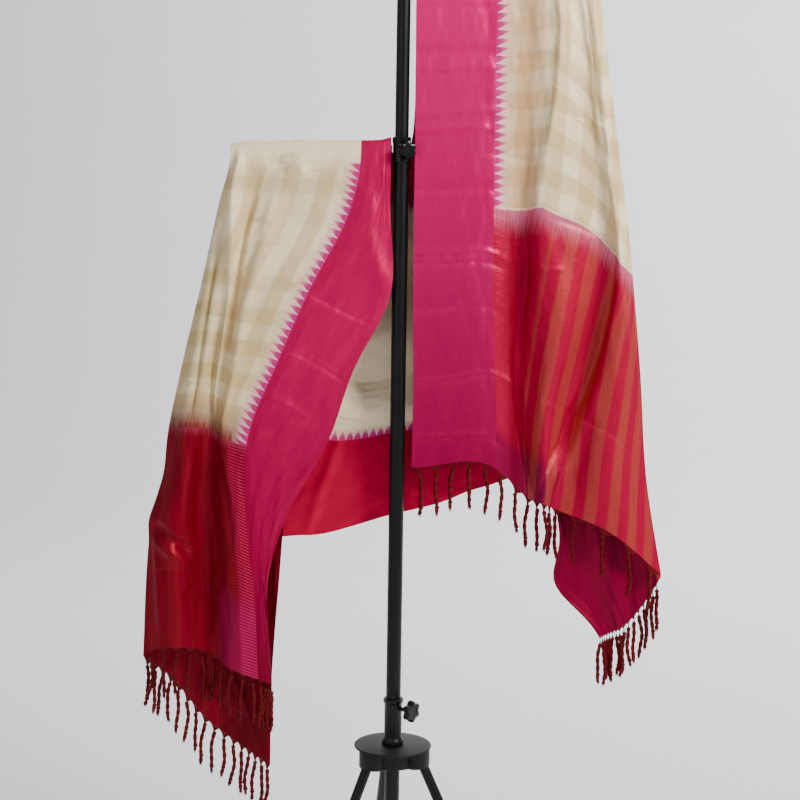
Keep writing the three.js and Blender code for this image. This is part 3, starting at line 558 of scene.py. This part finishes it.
# One hanging end: front columns, a small round fold at the outer edge, and the layer under it.
def endGrid(end):
    stations = spaced(hangingStations, end["hemStep"])
    parts = []
    for rows, depths in ((end["front"], end["frontDepths"]), (end["under"], underDepths)):
        widths = [row[0] for row in rows]
        columns = spaced(widths, end["hemStep"])
        paths = hangingPaths(rows, depths, end["armHeight"])
        parts.append((columns, gridFrom(widths, paths, hangingStations, columns, stations)))
    (frontWidths, front), (underWidths, under) = parts
    out = front[:, -1:] - front[:, -2:-1]
    out = out / np.linalg.norm(out, axis=2, keepdims=True)
    turn = np.array(foldTurns)[None, :, None]
    fold = (1 - turn) * front[:, -1:] + turn * under[:, :1] + out * end["foldRound"] * np.sin(turn * pi)
    foldWidths = frontWidths[-1] + np.array([-0.5, 0, 0, 0.5])
    grid = np.concatenate([front, fold, under], axis=1)
    widths = np.concatenate([frontWidths, foldWidths, underWidths])
    return grid, widths, stations, len(frontWidths)


def pulled(grid, pulls, across, along):  # eases the cloth sideways or down at a few places
    for width, down, reachAcross, reachDown, shift in pulls:
        share = np.exp(-((across - width) / reachAcross) ** 2 - ((along - down) / reachDown) ** 2)
        grid = grid + share[..., None] * np.array(shift, float)
    return grid


pleatsFrom = 470
still = {"above": 6, "down": 40, "beside": 25}  # where the creases fade out, at the arm and at the fold


# How far across the cloth each point is, measured on the draped sheet: the border is spread evenly,
# then true distances run to the outer fold, and the layer under it shares what is left.
def wovenAcross(end, grid, widths, along, folded):
    steps = np.linalg.norm(np.diff(grid, axis=1), axis=2)
    run = np.concatenate([np.zeros((len(grid), 1)), np.cumsum(steps, axis=1)], axis=1)
    border = int(np.argmin(np.abs(widths[:folded] - silk["border"] / mm)))
    woven = run - run[:, border:border + 1] + silk["border"] / mm
    woven[:, :border] = widths[:border]
    hidden = np.interp(widths, *zip(*end["pleat"]))
    lowered = np.clip((along - pleatsFrom) / (usualDrop - pleatsFrom), 0, 1)
    woven[:, border:folded] += (hidden * lowered)[:, border:folded]
    atFold = woven[:, folded - 1:folded]
    share = (run[:, folded:] - run[:, folded - 1:folded]) / (run[:, -1:] - run[:, folded - 1:folded])
    woven[:, folded:] = atFold + (silk["width"] / mm - atFold) * share
    return woven * mm


def dressEnd(name, end, finish):
    grid, widths, stations, folded = endGrid(end)
    across, along = np.meshgrid(widths, stations)
    calm = np.clip((along + still["above"]) / still["down"], 0, 1)
    calm = calm * np.clip(np.abs(across - widths[folded]) / still["beside"], 0, 1)
    woven = wovenAcross(end, grid, widths, along, folded)
    push = (creaseField(end["creases"], across, along) + waveField(end["waves"], across, along)) * calm
    grid = grid + normalsOf(grid) * (push * end["facing"])[..., None]
    grid = pulled(grid, end["pulls"], across, along)
    up = (1 - along / usualDrop) * end["lengthScale"]
    shifts = np.interp(across, *zip(*end["dyeShift"])) * mm
    up = up - shifts * np.clip(up / silk["dyeLine"], 0, 1)
    return clothObject(name, grid, np.stack([woven, up], axis=-1), finish), grid, widths, folded


# The ends paint shade on the border of the layer under the fold; the swag turns it off.
plainSilk = {
    "hem to": 0.0, "hem band": 0.07, "checks": 0.55, "shadow side": 0.0, "aged": 0.05, "far shade": 1.0,
    "tooth lean": 0.0, "teeth to": 9.0, "stripes from": 0.16, "shaded": 0.0, "patches": 0.25,
    "stripe shift": 0.0, "gold": 0.5, "crept": 0.01, "crept share": 0.3, "thinned": 0.03,
    "thinned share": 0.5, "pale line": 0.0, "rib glint share": 0.0, "gloss": tone(255, 200, 190),
}
# Left end: its border is painted darker towards the hem as shade, from 0.66 m above the hem.
leftSilk = silkFinish("left_end_silk", plainSilk | {
    "border": tone(200, 0, 84), "shaded border": tone(96, 0, 20), "shade from": 0.66, "red": tone(128, 0, 28),
    "hem to": 0.20, "hem band": 0.14, "checks": 0.7, "aged": 0.34, "tooth lean": 0.5, "teeth to": 1.02,
    "patches": 0.6, "stripe shift": 1.1, "gold": 0.06, "crept": 0.085, "crept share": 1.15,
    "thinned": 0.02, "thinned share": 0.25, "rib glint share": 0.5, "sheen": tone(255, 150, 170),
})
# Right end: its border is painted darker towards the hem as shade, all the way from the top.
rightSilk = silkFinish("right_end_silk", plainSilk | {
    "border": tone(255, 0, 128), "shaded border": tone(140, 0, 54), "shade from": 1.05, "red": tone(180, 0, 56),
    # the right end paints a warm shade on the shadowed side of its fold
    "hem to": 0.36, "checks": 0.75, "shadow side": 0.5, "aged": 0.06, "stripes from": 0.27, "shaded": 0.6,
    "patches": 0.4, "stripe shift": 2.6, "gold": 0.66, "thinned": 0.05, "thinned share": 0.95,
    "pale line": 0.6, "rib glint share": 0.12, "sheen": tone(255, 160, 170), "gloss": tone(255, 210, 190),
})
swagSilk = silkFinish("back_swag_silk", plainSilk | {
    "border": tone(196, 0, 58), "shaded border": tone(196, 0, 58), "shade from": 0.1, "red": tone(150, 0, 30),
    "far shade": 0.0, "sheen": tone(255, 150, 160),
})
print("silk finishes made")

leftCloth, leftGrid, leftWidths, leftFold = dressEnd("dupatta_left_end", leftEnd, leftSilk)
rightCloth, rightGrid, rightWidths, rightFold = dressEnd("dupatta_right_end", rightEnd, rightSilk)
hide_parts("left_front_panel", "left_under_fold")
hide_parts("right_front_panel", "right_under_fold")
print("hanging ends made")


def swagCloth():
    s = backSwag
    stations = [k * s["crossingStep"] for k in range(s["crossings"])]
    rows = spaced(stations, s["rowStep"])
    halves = []
    for half in ("upper", "lower"):
        table = s[half]
        paths = np.array([np.stack([x, y, z], axis=-1) for width, x, y, z in table], float)
        paths[:, [0, -1], 2] -= s["tuck"]
        widths = [row[0] for row in table]
        columns = spaced(widths, s["step"])
        halves.append((columns, gridFrom(widths, paths, stations, columns, rows)))
    (upWidths, up), (lowWidths, low) = halves
    turn = np.linspace(0, 1, s["bridge"] + 2)[None, 1:-1, None]
    bridge = (1 - turn) * up[:, -1:] + turn * low[:, :1]
    grid = np.concatenate([up, bridge, low], axis=1)
    widths = np.concatenate([upWidths, np.full(s["bridge"], upWidths[-1]), lowWidths])
    across, along = np.meshgrid(widths, rows)
    calm = np.clip(np.minimum(along, rows[-1] - along) / s["still along"], 0, 1)
    calm = calm * np.clip(np.abs(across - s["fold"]) / s["still beside"], 0, 1)
    push = (creaseField(s["creases"], across, along) + waveField(s["waves"], across, along)) * calm
    grid = grid + normalsOf(grid) * push[..., None]
    steps = np.linalg.norm(np.diff(grid, axis=0), axis=2)
    length = np.concatenate([np.zeros((1, grid.shape[1])), np.cumsum(steps, axis=0)], axis=0) * mm
    neck, low = (length[:, np.argmin(np.abs(widths - s[edge]))][:, None]
                 for edge in ("neck border", "low border"))
    share = np.clip((across - s["share from"]) / s["share over"], 0, 1)
    run = s["woven from"] + neck * (1 - share) + low * share
    return clothObject("dupatta_back_swag", grid, np.stack([across * mm, run], axis=-1), swagSilk)


swag = swagCloth()
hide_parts("back_swag_upper", "back_swag_lower")
print("back swag made")


# Tassels: warp threads gathered below the hem, twisted in two plies, knotted, with a short loose tip.
tassels = {
    "count": 16, "length": 87, "ply": 2.7, "swing": 1.3, "twist": 30, "knot": 4.6, "knotAt": 0.84,
    "gather": 13, "sides": 6, "rings": 30, "fanColumns": 9, "fanRows": 7, "fanNeck": 3.0, "tips": 5,
    "swayAcross": 3, "swayDeep": 1.5, "bow": 4.5, "uneven": 0.05, "rise": 3.3,
}


def threadFinish():
    f = Finish("tassel_thread_twist")
    u, v = f.apart(f.node("UVMap", {"uv_map": "thread"}))
    fibres = f.noise(f.join(u * 26.0 + v * 240.0, v * 30.0), 1.0, 3.0, 0.6)
    each = f.noise(f.join(u.maths("FLOOR") * 3.7, 0.0), 1.0, 0.0)
    colour = f.mix(f.ramp(fibres, 0.35, 0.7), tone(66, 0, 6), tone(122, 0, 14))
    colour = f.mix(f.ramp(each, 0.56, 0.62) * f.ramp(fibres, 0.4, 0.6) * 0.12, colour, tone(170, 40, 24))
    return f.surface({
        "Base Color": colour, "Roughness": 0.5 + (fibres - 0.5) * 0.2, "Normal": f.bump(0.6, 0.0005, fibres),
        "Metallic": 0.3, "Specular IOR Level": 0.2, "Sheen Weight": 0.02, "Sheen Roughness": 0.5,
        "Sheen Tint": tone(255, 120, 120),
    })


tasselThread = threadFinish()


class Strands:  # collects quads with a texture place each, then makes one mesh
    def __init__(self):
        self.points, self.faces, self.uv = [], [], []

    def tube(self, path, radii, sides, number):
        base = len(self.points)
        for k, (point, radius) in enumerate(zip(path, radii)):
            ahead = path[min(k + 1, len(path) - 1)] - path[max(k - 1, 0)]
            ahead = ahead / np.linalg.norm(ahead)
            side = np.cross(ahead, (0, 1, 0))
            side = side / np.linalg.norm(side)
            other = np.cross(ahead, side)
            for s in range(sides + 1):
                angle = 2 * pi * s / sides
                self.points.append(point + radius * (side * cos(angle) + other * sin(angle)))
                self.uv.append((number + 0.98 * s / sides, 0.003 * k))
        for k in range(len(path) - 1):
            for s in range(sides):
                a = base + k * (sides + 1) + s
                self.faces.append((a, a + 1, a + sides + 2, a + sides + 1))

    def sheet(self, grid, number):
        base = len(self.points)
        rows, columns = grid.shape[:2]
        for r in range(rows):
            for c in range(columns):
                self.points.append(grid[r, c])
                self.uv.append((number + 0.98 * c / columns, 0.002 * r))
        for r in range(rows - 1):
            for c in range(columns - 1):
                a = base + r * columns + c
                self.faces.append((a, a + columns, a + columns + 1, a + 1))

    def piece(self, name, finish):
        return meshObject(name, onPost(self.points), self.faces, finish, "thread", self.uv)


def tasselRow(name, node, hem, tableWidths, hemWidths, lean, seed):
    strands = Strands()
    t = tassels

    def hemPoint(share):  # where the hem runs at this share of the row of tassels
        width = tableWidths[0] + (tableWidths[-1] - tableWidths[0]) * share
        return np.array([np.interp(width, hemWidths, hem[:, axis]) for axis in range(3)])

    for i in range(t["count"]):
        middle = (i + 0.5) / t["count"]
        root = hemPoint(middle) - np.array([0, 0, t["gather"]])
        swayX = lean + t["swayAcross"] * sin(i * 2.4)
        swayY = t["swayDeep"] * cos(i * 1.7)
        bow = t["bow"] * sin(i * 1.3 + seed)
        length = t["length"] * (1 + t["uneven"] * sin(i * 1.9)) + t["rise"] - t["gather"]
        shares = np.linspace(0, 1, t["rings"])
        bowed = bow * np.sin(shares * pi) * (1 + 0.3 * sin(i * 5.1))
        core = root + np.stack([
            swayX * shares + bowed + 0.8 * np.sin(shares * 9 + i),
            swayY * shares + 0.6 * np.sin(shares * 7 + i * 2), -length * shares], axis=-1)
        knotShare = t["knotAt"] + t["uneven"] * sin(i * 3.3)
        tight = 1 - 0.35 * np.exp(-((shares - knotShare) / 0.03) ** 2)
        for ply in (0, pi):
            angle = shares * length / t["twist"] * 2 * pi + ply + i
            swing = t["swing"] * tight
            path = core + np.stack([swing * np.cos(angle), swing * np.sin(angle), 0 * shares], axis=-1)
            strands.tube(path, t["ply"] * tight * np.where(shares > 0.97, 0.6, 1.0), t["sides"], i)
        at = core[int(knotShare * (t["rings"] - 1))]
        for sizes, centre in ((t["knot"], at), (t["knot"] * 0.9, core[1])):
            turn = np.linspace(0, pi, 7)
            bead = centre + np.stack([0.2 * turn, 0 * turn, sizes * 0.9 * np.cos(turn)], axis=-1)
            radii = sizes * np.maximum(np.sin(turn), 0.05) * (1 + 0.12 * np.sin(turn * 5 + i))
            strands.tube(bead, radii, 9, i + 0.3)
        for k in range(t["tips"]):
            tip = core[-1] + np.array([cos(k * 2.2 + i) * 0.8, sin(k * 2.2 + i) * 0.8, 0])
            out = np.array([cos(k * 2.5 + i) * 2.4, sin(k * 2.5 + i) * 1.5, -3.0 - k % 3])
            strands.tube(np.array([tip + [0, 0, 2], tip + out * 0.5, tip + out]), [0.5, 0.4, 0.15], 4, i + 0.6)
        shares = np.linspace(-0.5, 0.5, t["fanColumns"])
        top = np.array([hemPoint(middle + s / t["count"]) for s in shares])
        level = root + np.stack([shares * t["fanNeck"], 0 * shares, 0 * shares], axis=-1)
        rows = []
        for fall in np.linspace(0, 1, t["fanRows"]):
            pull = 1 - (1 - fall) ** 2.2
            point = top * (1 - pull) + level * pull
            point[:, 2] = top[:, 2] * (1 - fall) + level[:, 2] * fall
            point[:, 1] += 0.5 * np.cos(np.arange(len(shares)) * pi) * (1 - fall)
            rows.append(point)
        strands.sheet(np.array(rows), i)
    made = strands.piece(name, tasselThread)
    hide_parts(node)
    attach(made, "mast")
    return made


def tasselsOf(side, end, grid, widths, folded, seed):
    made = []
    for k, (layer, part) in enumerate((
            ("front", slice(0, folded)), ("under", slice(folded + len(foldTurns), None)))):
        tableWidths = [row[0] for row in end[layer]]
        made.append(tasselRow(f"{side}_{layer}_tassel_row", f"{side}_{layer}_tassels", grid[-1][part],
                              tableWidths, widths[part], end["lean"][k], seed + k))
    return made


leftTassels = tasselsOf("left", leftEnd, leftGrid, leftWidths, leftFold, 0.4)
rightTassels = tasselsOf("right", rightEnd, rightGrid, rightWidths, rightFold, 2.1)
print("tassels made")

for piece in (leftCloth, rightCloth, swag):
    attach(piece, "mast")


# Stand, in millimetres. Turned pieces are [radius, height] outlines about the post.
def metalFinish(name, colour, roughness, wear):
    f = Finish(name)
    place = f.node("TexCoord", None, None, 3)
    grain = f.noise(place, 900.0, 3.0)
    smudges = f.noise(place, 14.0, 4.0, 0.6)
    scuffs = f.noise(f.node("Mapping", None, {"Vector": place, "Scale": (90.0, 90.0, 6.0)}), 1.0, 4.0, 0.7)
    tint = f.mix(f.ramp(scuffs, 0.62, 0.78) * wear, colour, tone(96, 94, 92))
    rough = roughness + (smudges - 0.5) * 0.22 + (grain - 0.5) * 0.1
    bump = f.bump(0.25, 0.0003, grain * 0.6 + smudges * 0.4)
    return f.surface({"Base Color": tint, "Roughness": rough, "Normal": bump, "Specular IOR Level": 0.3})


blackCoat = metalFinish("black_powder_coat", tone(5, 4, 5), 0.38, 0.22)
blackPlate = metalFinish("black_base_plate", tone(1, 1, 1), 0.52, 0.10)
blackPlastic = metalFinish("black_moulded_plastic", tone(5, 5, 6), 0.30, 0.06)
blackRubber = metalFinish("black_foot_rubber", tone(14, 14, 14), 0.8, 0.20)
sharpAngle = 32


def solidPiece(name, points, faces, finish, node, body, place=None):
    turnInto = place or Matrix.Identity(4)
    shift = Vector((postX, postY, 0))
    made = meshObject(name, [(turnInto @ Vector(p)) * mm + shift for p in points], faces, finish)
    made.data.set_sharp_from_angle(angle=radians(sharpAngle))
    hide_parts(node)
    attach(made, body)
    return made


def ringsOf(profile, around):  # profile is [(scale or radius, height)]; around gives (x, y) of a unit ring
    points, faces = [], []
    count = len(around)
    for radius, height in profile:
        points += [(x * radius, y * radius, height) for x, y in around]
    for k in range(len(profile) - 1):
        for s in range(count):
            a, b = k * count + s, k * count + (s + 1) % count
            faces.append((a, b, b + count, a + count))
    return points, faces


def lobed(steps, radiusAt):
    angles = [2 * pi * i / steps for i in range(steps)]
    return [(radiusAt(angle) * cos(angle), radiusAt(angle) * sin(angle)) for angle in angles]


def circle(steps=64):
    return lobed(steps, lambda angle: 1.0)


def joined(*shells):
    points, faces = [], []
    for more, moreFaces in shells:
        base = len(points)
        points += more
        faces += [tuple(base + i for i in face) for face in moreFaces]
    return points, faces


def softened(profile, radius=1.2):  # rounds each corner of an outline with two short cuts
    result = []
    last = len(profile) - 1
    for k, point in enumerate(profile):
        if k in (0, last):
            result.append(point)
            continue
        here = Vector(point)
        for other in (profile[k - 1], profile[k + 1]):
            toward = Vector(other) - here
            cut = min(radius, toward.length * 0.4)
            result.append(tuple(here + toward.normalized() * cut))
    return result


def turnedPiece(name, profile, finish, node, body, place=None):
    points, faces = ringsOf(softened(profile), circle())
    return solidPiece(name, points, faces, finish, node, body, place)


stand = {
    "lowerTubeRadius": 14, "upperTubeRadius": 12.5, "lowerTubeFoot": 330, "tubeJoint": 1683.7, "postTop": 2124,
    "collarRadius": 17, "collarBottom": 1669, "collarTop": 1715, "collarBore": (14.4, 12.9), "armRadius": 8,
    "leftArmReach": 308, "rightArmReach": 340, "leftArmHeight": 1692, "rightArmHeight": 2095, "ringBore": 12.8,
    "ringHalf": 16, "bore": 14.5, "sleeveBottom": 568, "sleeveTop": 658, "sleeveRadius": 16.6, "rimRadius": 19,
    "flangeRadius": 73.5, "flangeTop": 567.7, "flangeThickness": 5, "flangeEdge": 1.5, "flangeSlope": 2,
    "skirtHeight": 33, "skirtWaist": 50, "skirtLobe": 23.4, "legTurn": -20, "legLean": 26.2, "legPitch": 50,
    "legDrop": 5, "legRadius": 9.5, "footRadius": 15, "footHeight": 26, "gap": 0.3, "axis": 0.1,
}


def buildStand():
    s = stand
    axis, gap, bore = s["axis"], s["gap"], s["bore"]
    thick, thin, ring = s["lowerTubeRadius"], s["upperTubeRadius"], s["collarRadius"]
    low, joint, high = s["lowerTubeFoot"], s["tubeJoint"], s["postTop"]
    below, above = s["collarBottom"], s["collarTop"]
    ringLow, ringHigh = s["rightArmHeight"] - s["ringHalf"], s["rightArmHeight"] + s["ringHalf"]
    seat, mouth, sleeve, rim = s["sleeveBottom"], s["sleeveTop"], s["sleeveRadius"], s["rimRadius"]
    for name, finish, node, body, slotName, profile in (
            ("post_lower_tube", blackCoat, "lower_tube", "mast", "stand_metal",
             [(axis, low), (thick, low), (thick, joint - gap), (axis, joint - gap)]),
            ("post_upper_tube", blackCoat, "upper_tube", "mast", "stand_metal",
             [(axis, joint), (thin, joint), (thin, high), (axis, high)]),
            ("post_collar", blackPlastic, "collar", "mast", "stand_metal",
             [(s["collarBore"][0], below), (ring, below), (ring, below + 9), (ring - 1, below + 11),
              (ring - 1, above - 11), (ring, above - 9), (ring, above), (s["collarBore"][1], above)]),
            ("upper_arm_ring", blackCoat, "arm_ring", "mast", "stand_metal",
             [(s["ringBore"], ringLow), (ring, ringLow), (ring, ringHigh), (s["ringBore"], ringHigh)]),
            ("post_top_cap", blackPlastic, "top_cap", "mast", "knob_plastic",
             [(axis, high + gap), (thin + 1, high + gap), (thin + 1, high + 5), (6, high + 9),
              (axis, high + 10)]),
            ("base_sleeve", blackCoat, "sleeve", "base", "stand_metal",
             [(bore, seat), (sleeve + 4, seat), (sleeve + 4, seat + 8), (sleeve, seat + 14),
              (sleeve, mouth - 9), (rim, mouth - 7), (rim, mouth), (bore, mouth)])):
        turnedPiece(name, profile, finish, node, body)
    for name, node, reach, height, out in (
            ("left_drape_arm", "left_arm", s["leftArmReach"], s["leftArmHeight"], -1),
            ("right_drape_arm", "right_arm", s["rightArmReach"], s["rightArmHeight"], 1)):
        start, thin = ring + gap, s["armRadius"]
        bar = [(axis, start), (thin, start), (thin, reach - 4), (thin - 2.5, reach), (axis, reach)]
        place = Matrix.Translation((0, 0, height)) @ Matrix.Rotation(radians(90 * out), 4, "Y")
        turnedPiece(name, bar, blackCoat, node, "mast", place)
    hubPiece()
    for k in range(3):
        legAndFoot(k)


def hubPiece():
    s = stand
    wide, edge, top = s["flangeRadius"], s["flangeEdge"], s["flangeTop"]
    under = top - s["flangeThickness"]
    low = under - s["skirtHeight"]

    def skirtRadius(angle):
        lobe = max(0.0, cos((angle - radians(s["legTurn"])) * 3))
        return s["skirtWaist"] + s["skirtLobe"] * sqrt(lobe)

    flange = softened([(s["bore"], under), (wide - edge, under), (wide, under + edge), (wide, top - edge),
                       (wide - s["flangeSlope"], top), (s["bore"], top)], 0.6)
    skirt = [(0.26, low), (0.93, low), (0.985, low + 1.2), (1.0, low + 3.5), (1.0, under + 0.5)]
    points, faces = joined(ringsOf(flange, circle(96)), ringsOf(skirt, lobed(144, skirtRadius)))
    solidPiece("base_hub", points, faces, blackPlate, "hub", "base")


def legAndFoot(number):
    s = stand
    axis, r, f = s["axis"], s["legRadius"], s["footRadius"]
    turn = radians(s["legTurn"] + 120 * number)
    top = s["flangeTop"] - s["flangeThickness"] - s["legDrop"]
    bottom = s["footHeight"] + 6
    reach = s["legPitch"] + (top - bottom) * tan(radians(s["legLean"]))
    start = Vector((s["legPitch"] * cos(turn), s["legPitch"] * sin(turn), top))
    end = Vector((reach * cos(turn), reach * sin(turn), bottom))
    long = (start - end).length - 1
    place = Matrix.Translation(end) @ (start - end).to_track_quat("Z", "Y").to_matrix().to_4x4()
    turnedPiece(f"tripod_leg_{number + 1}", [(axis, 0), (r, 0), (r, long), (axis, long)],
                blackCoat, f"leg_{number + 1}", "base", place)
    high = s["footHeight"] + 12
    boot = [(axis, 0), (f, 0), (f, 8), (f - 0.8, 10), (f - 0.8, 14), (f - 0.3, 16), (f - 2, high),
            (axis, high)]
    turnedPiece(f"rubber_foot_{number + 1}", boot, blackRubber, f"foot_{number + 1}", "base",
                Matrix.Translation((end.x, end.y, 0)))


knobs = {
    "lobes": 6, "depth": 13, "lower": {"radius": 21, "turn": -38, "reach": 37, "height": 640, "screwFrom": 15},
    "upper": {"radius": 17, "turn": -70, "reach": 24, "height": 1692, "screwFrom": 13.5},
}


def knobPiece(name, which):
    k = knobs[which]
    start, screw = k["reach"], k["screwFrom"]
    end = start + knobs["depth"]
    shape = lobed(96, lambda angle: k["radius"] * (0.88 + 0.12 * cos(angle * knobs["lobes"])))
    head = [(0.02, start), (0.80, start), (0.93, start + 0.7), (1.0, start + 2.4), (1.0, end - 2.4),
            (0.93, end - 0.7), (0.80, end), (0.55, end), (0.50, end - 1.2), (0.02, end - 1.2)]
    shank = [(0.1, screw), (4, screw), (4, start - 1.5), (7, start - 1), (7, start + 1)]
    points, faces = joined(ringsOf(head, shape), ringsOf(shank, circle(32)))
    place = (Matrix.Translation((0, 0, k["height"])) @ Matrix.Rotation(radians(k["turn"]), 4, "Z")
             @ Matrix.Rotation(radians(90), 4, "Y"))
    solidPiece(name, points, faces, blackPlastic, which + "_knob", which + "_clamp", place)


buildStand()
knobPiece("base_clamp_knob", "lower")
knobPiece("collar_clamp_knob", "upper")

print("stand made")

# Floor, backdrop and light.
studio = {"wall": 8.5, "side": 11.0, "front": 11.0, "height": 8.0, "curve": 3.0, "grey": tone(242, 243, 247)}


def addStage():
    f = Finish("studio_paper")
    place = f.node("TexCoord", None, None, 3)
    mottle = f.noise(place, 2.2, 3.0)
    colour = f.mix(mottle, studio["grey"], tone(248, 248, 250))
    finish = f.surface({"Base Color": colour, "Roughness": 0.9})
    wall = postY + studio["wall"]
    profile = [(postY - studio["front"], 0.0)]
    curve = studio["curve"]
    profile += [(wall - curve + curve * sin(a), curve - curve * cos(a)) for a in np.linspace(0, pi / 2, 14)]
    profile.append((wall, studio["height"]))
    points = [(side * studio["side"], y, z) for y, z in profile for side in (-1, 1)]
    faces = [(2 * k, 2 * k + 1, 2 * k + 3, 2 * k + 2) for k in range(len(profile) - 1)]
    meshObject("studio_sweep", points, faces, finish)


lamps = [
    ("keyLight", (2.1, -1.7, 3.1), 0.9, 132.0, (1.0, 0.97, 0.93), (0.15, 0.0, 1.7)),
    ("fillLight", (-2.3, -2.8, 2.2), 2.2, 17.0, (0.93, 0.96, 1.0), (0.0, 0.0, 1.5)),
    ("wallLight", (3.5, 3.2, 5.6), 4.0, 620.0, (1.0, 1.0, 1.0), (2.0, 8.0, 1.2)),
    ("backLight", (-1.8, 3.6, 3.0), 1.6, 22.0, (0.97, 0.98, 1.0), (0.0, 0.0, 1.5)),
]


def addLights():
    for name, place, size, power, colour, aim in lamps:
        data = bpy.data.lights.new(name, "AREA")
        data.energy = power
        data.size = size
        data.color = colour
        lamp = bpy.data.objects.new(name, data)
        lamp.location = place
        lamp.rotation_euler = (Vector(aim) - Vector(place)).to_track_quat("-Z", "Y").to_euler()
        bpy.context.scene.collection.objects.link(lamp)
    world = bpy.data.worlds.new("studioWorld")
    world.use_nodes = True
    world.node_tree.nodes["Background"].inputs[0].default_value = (0.86, 0.89, 0.95, 1)
    world.node_tree.nodes["Background"].inputs[1].default_value = 0.45
    bpy.context.scene.world = world


addStage()
addLights()
print("studio made")
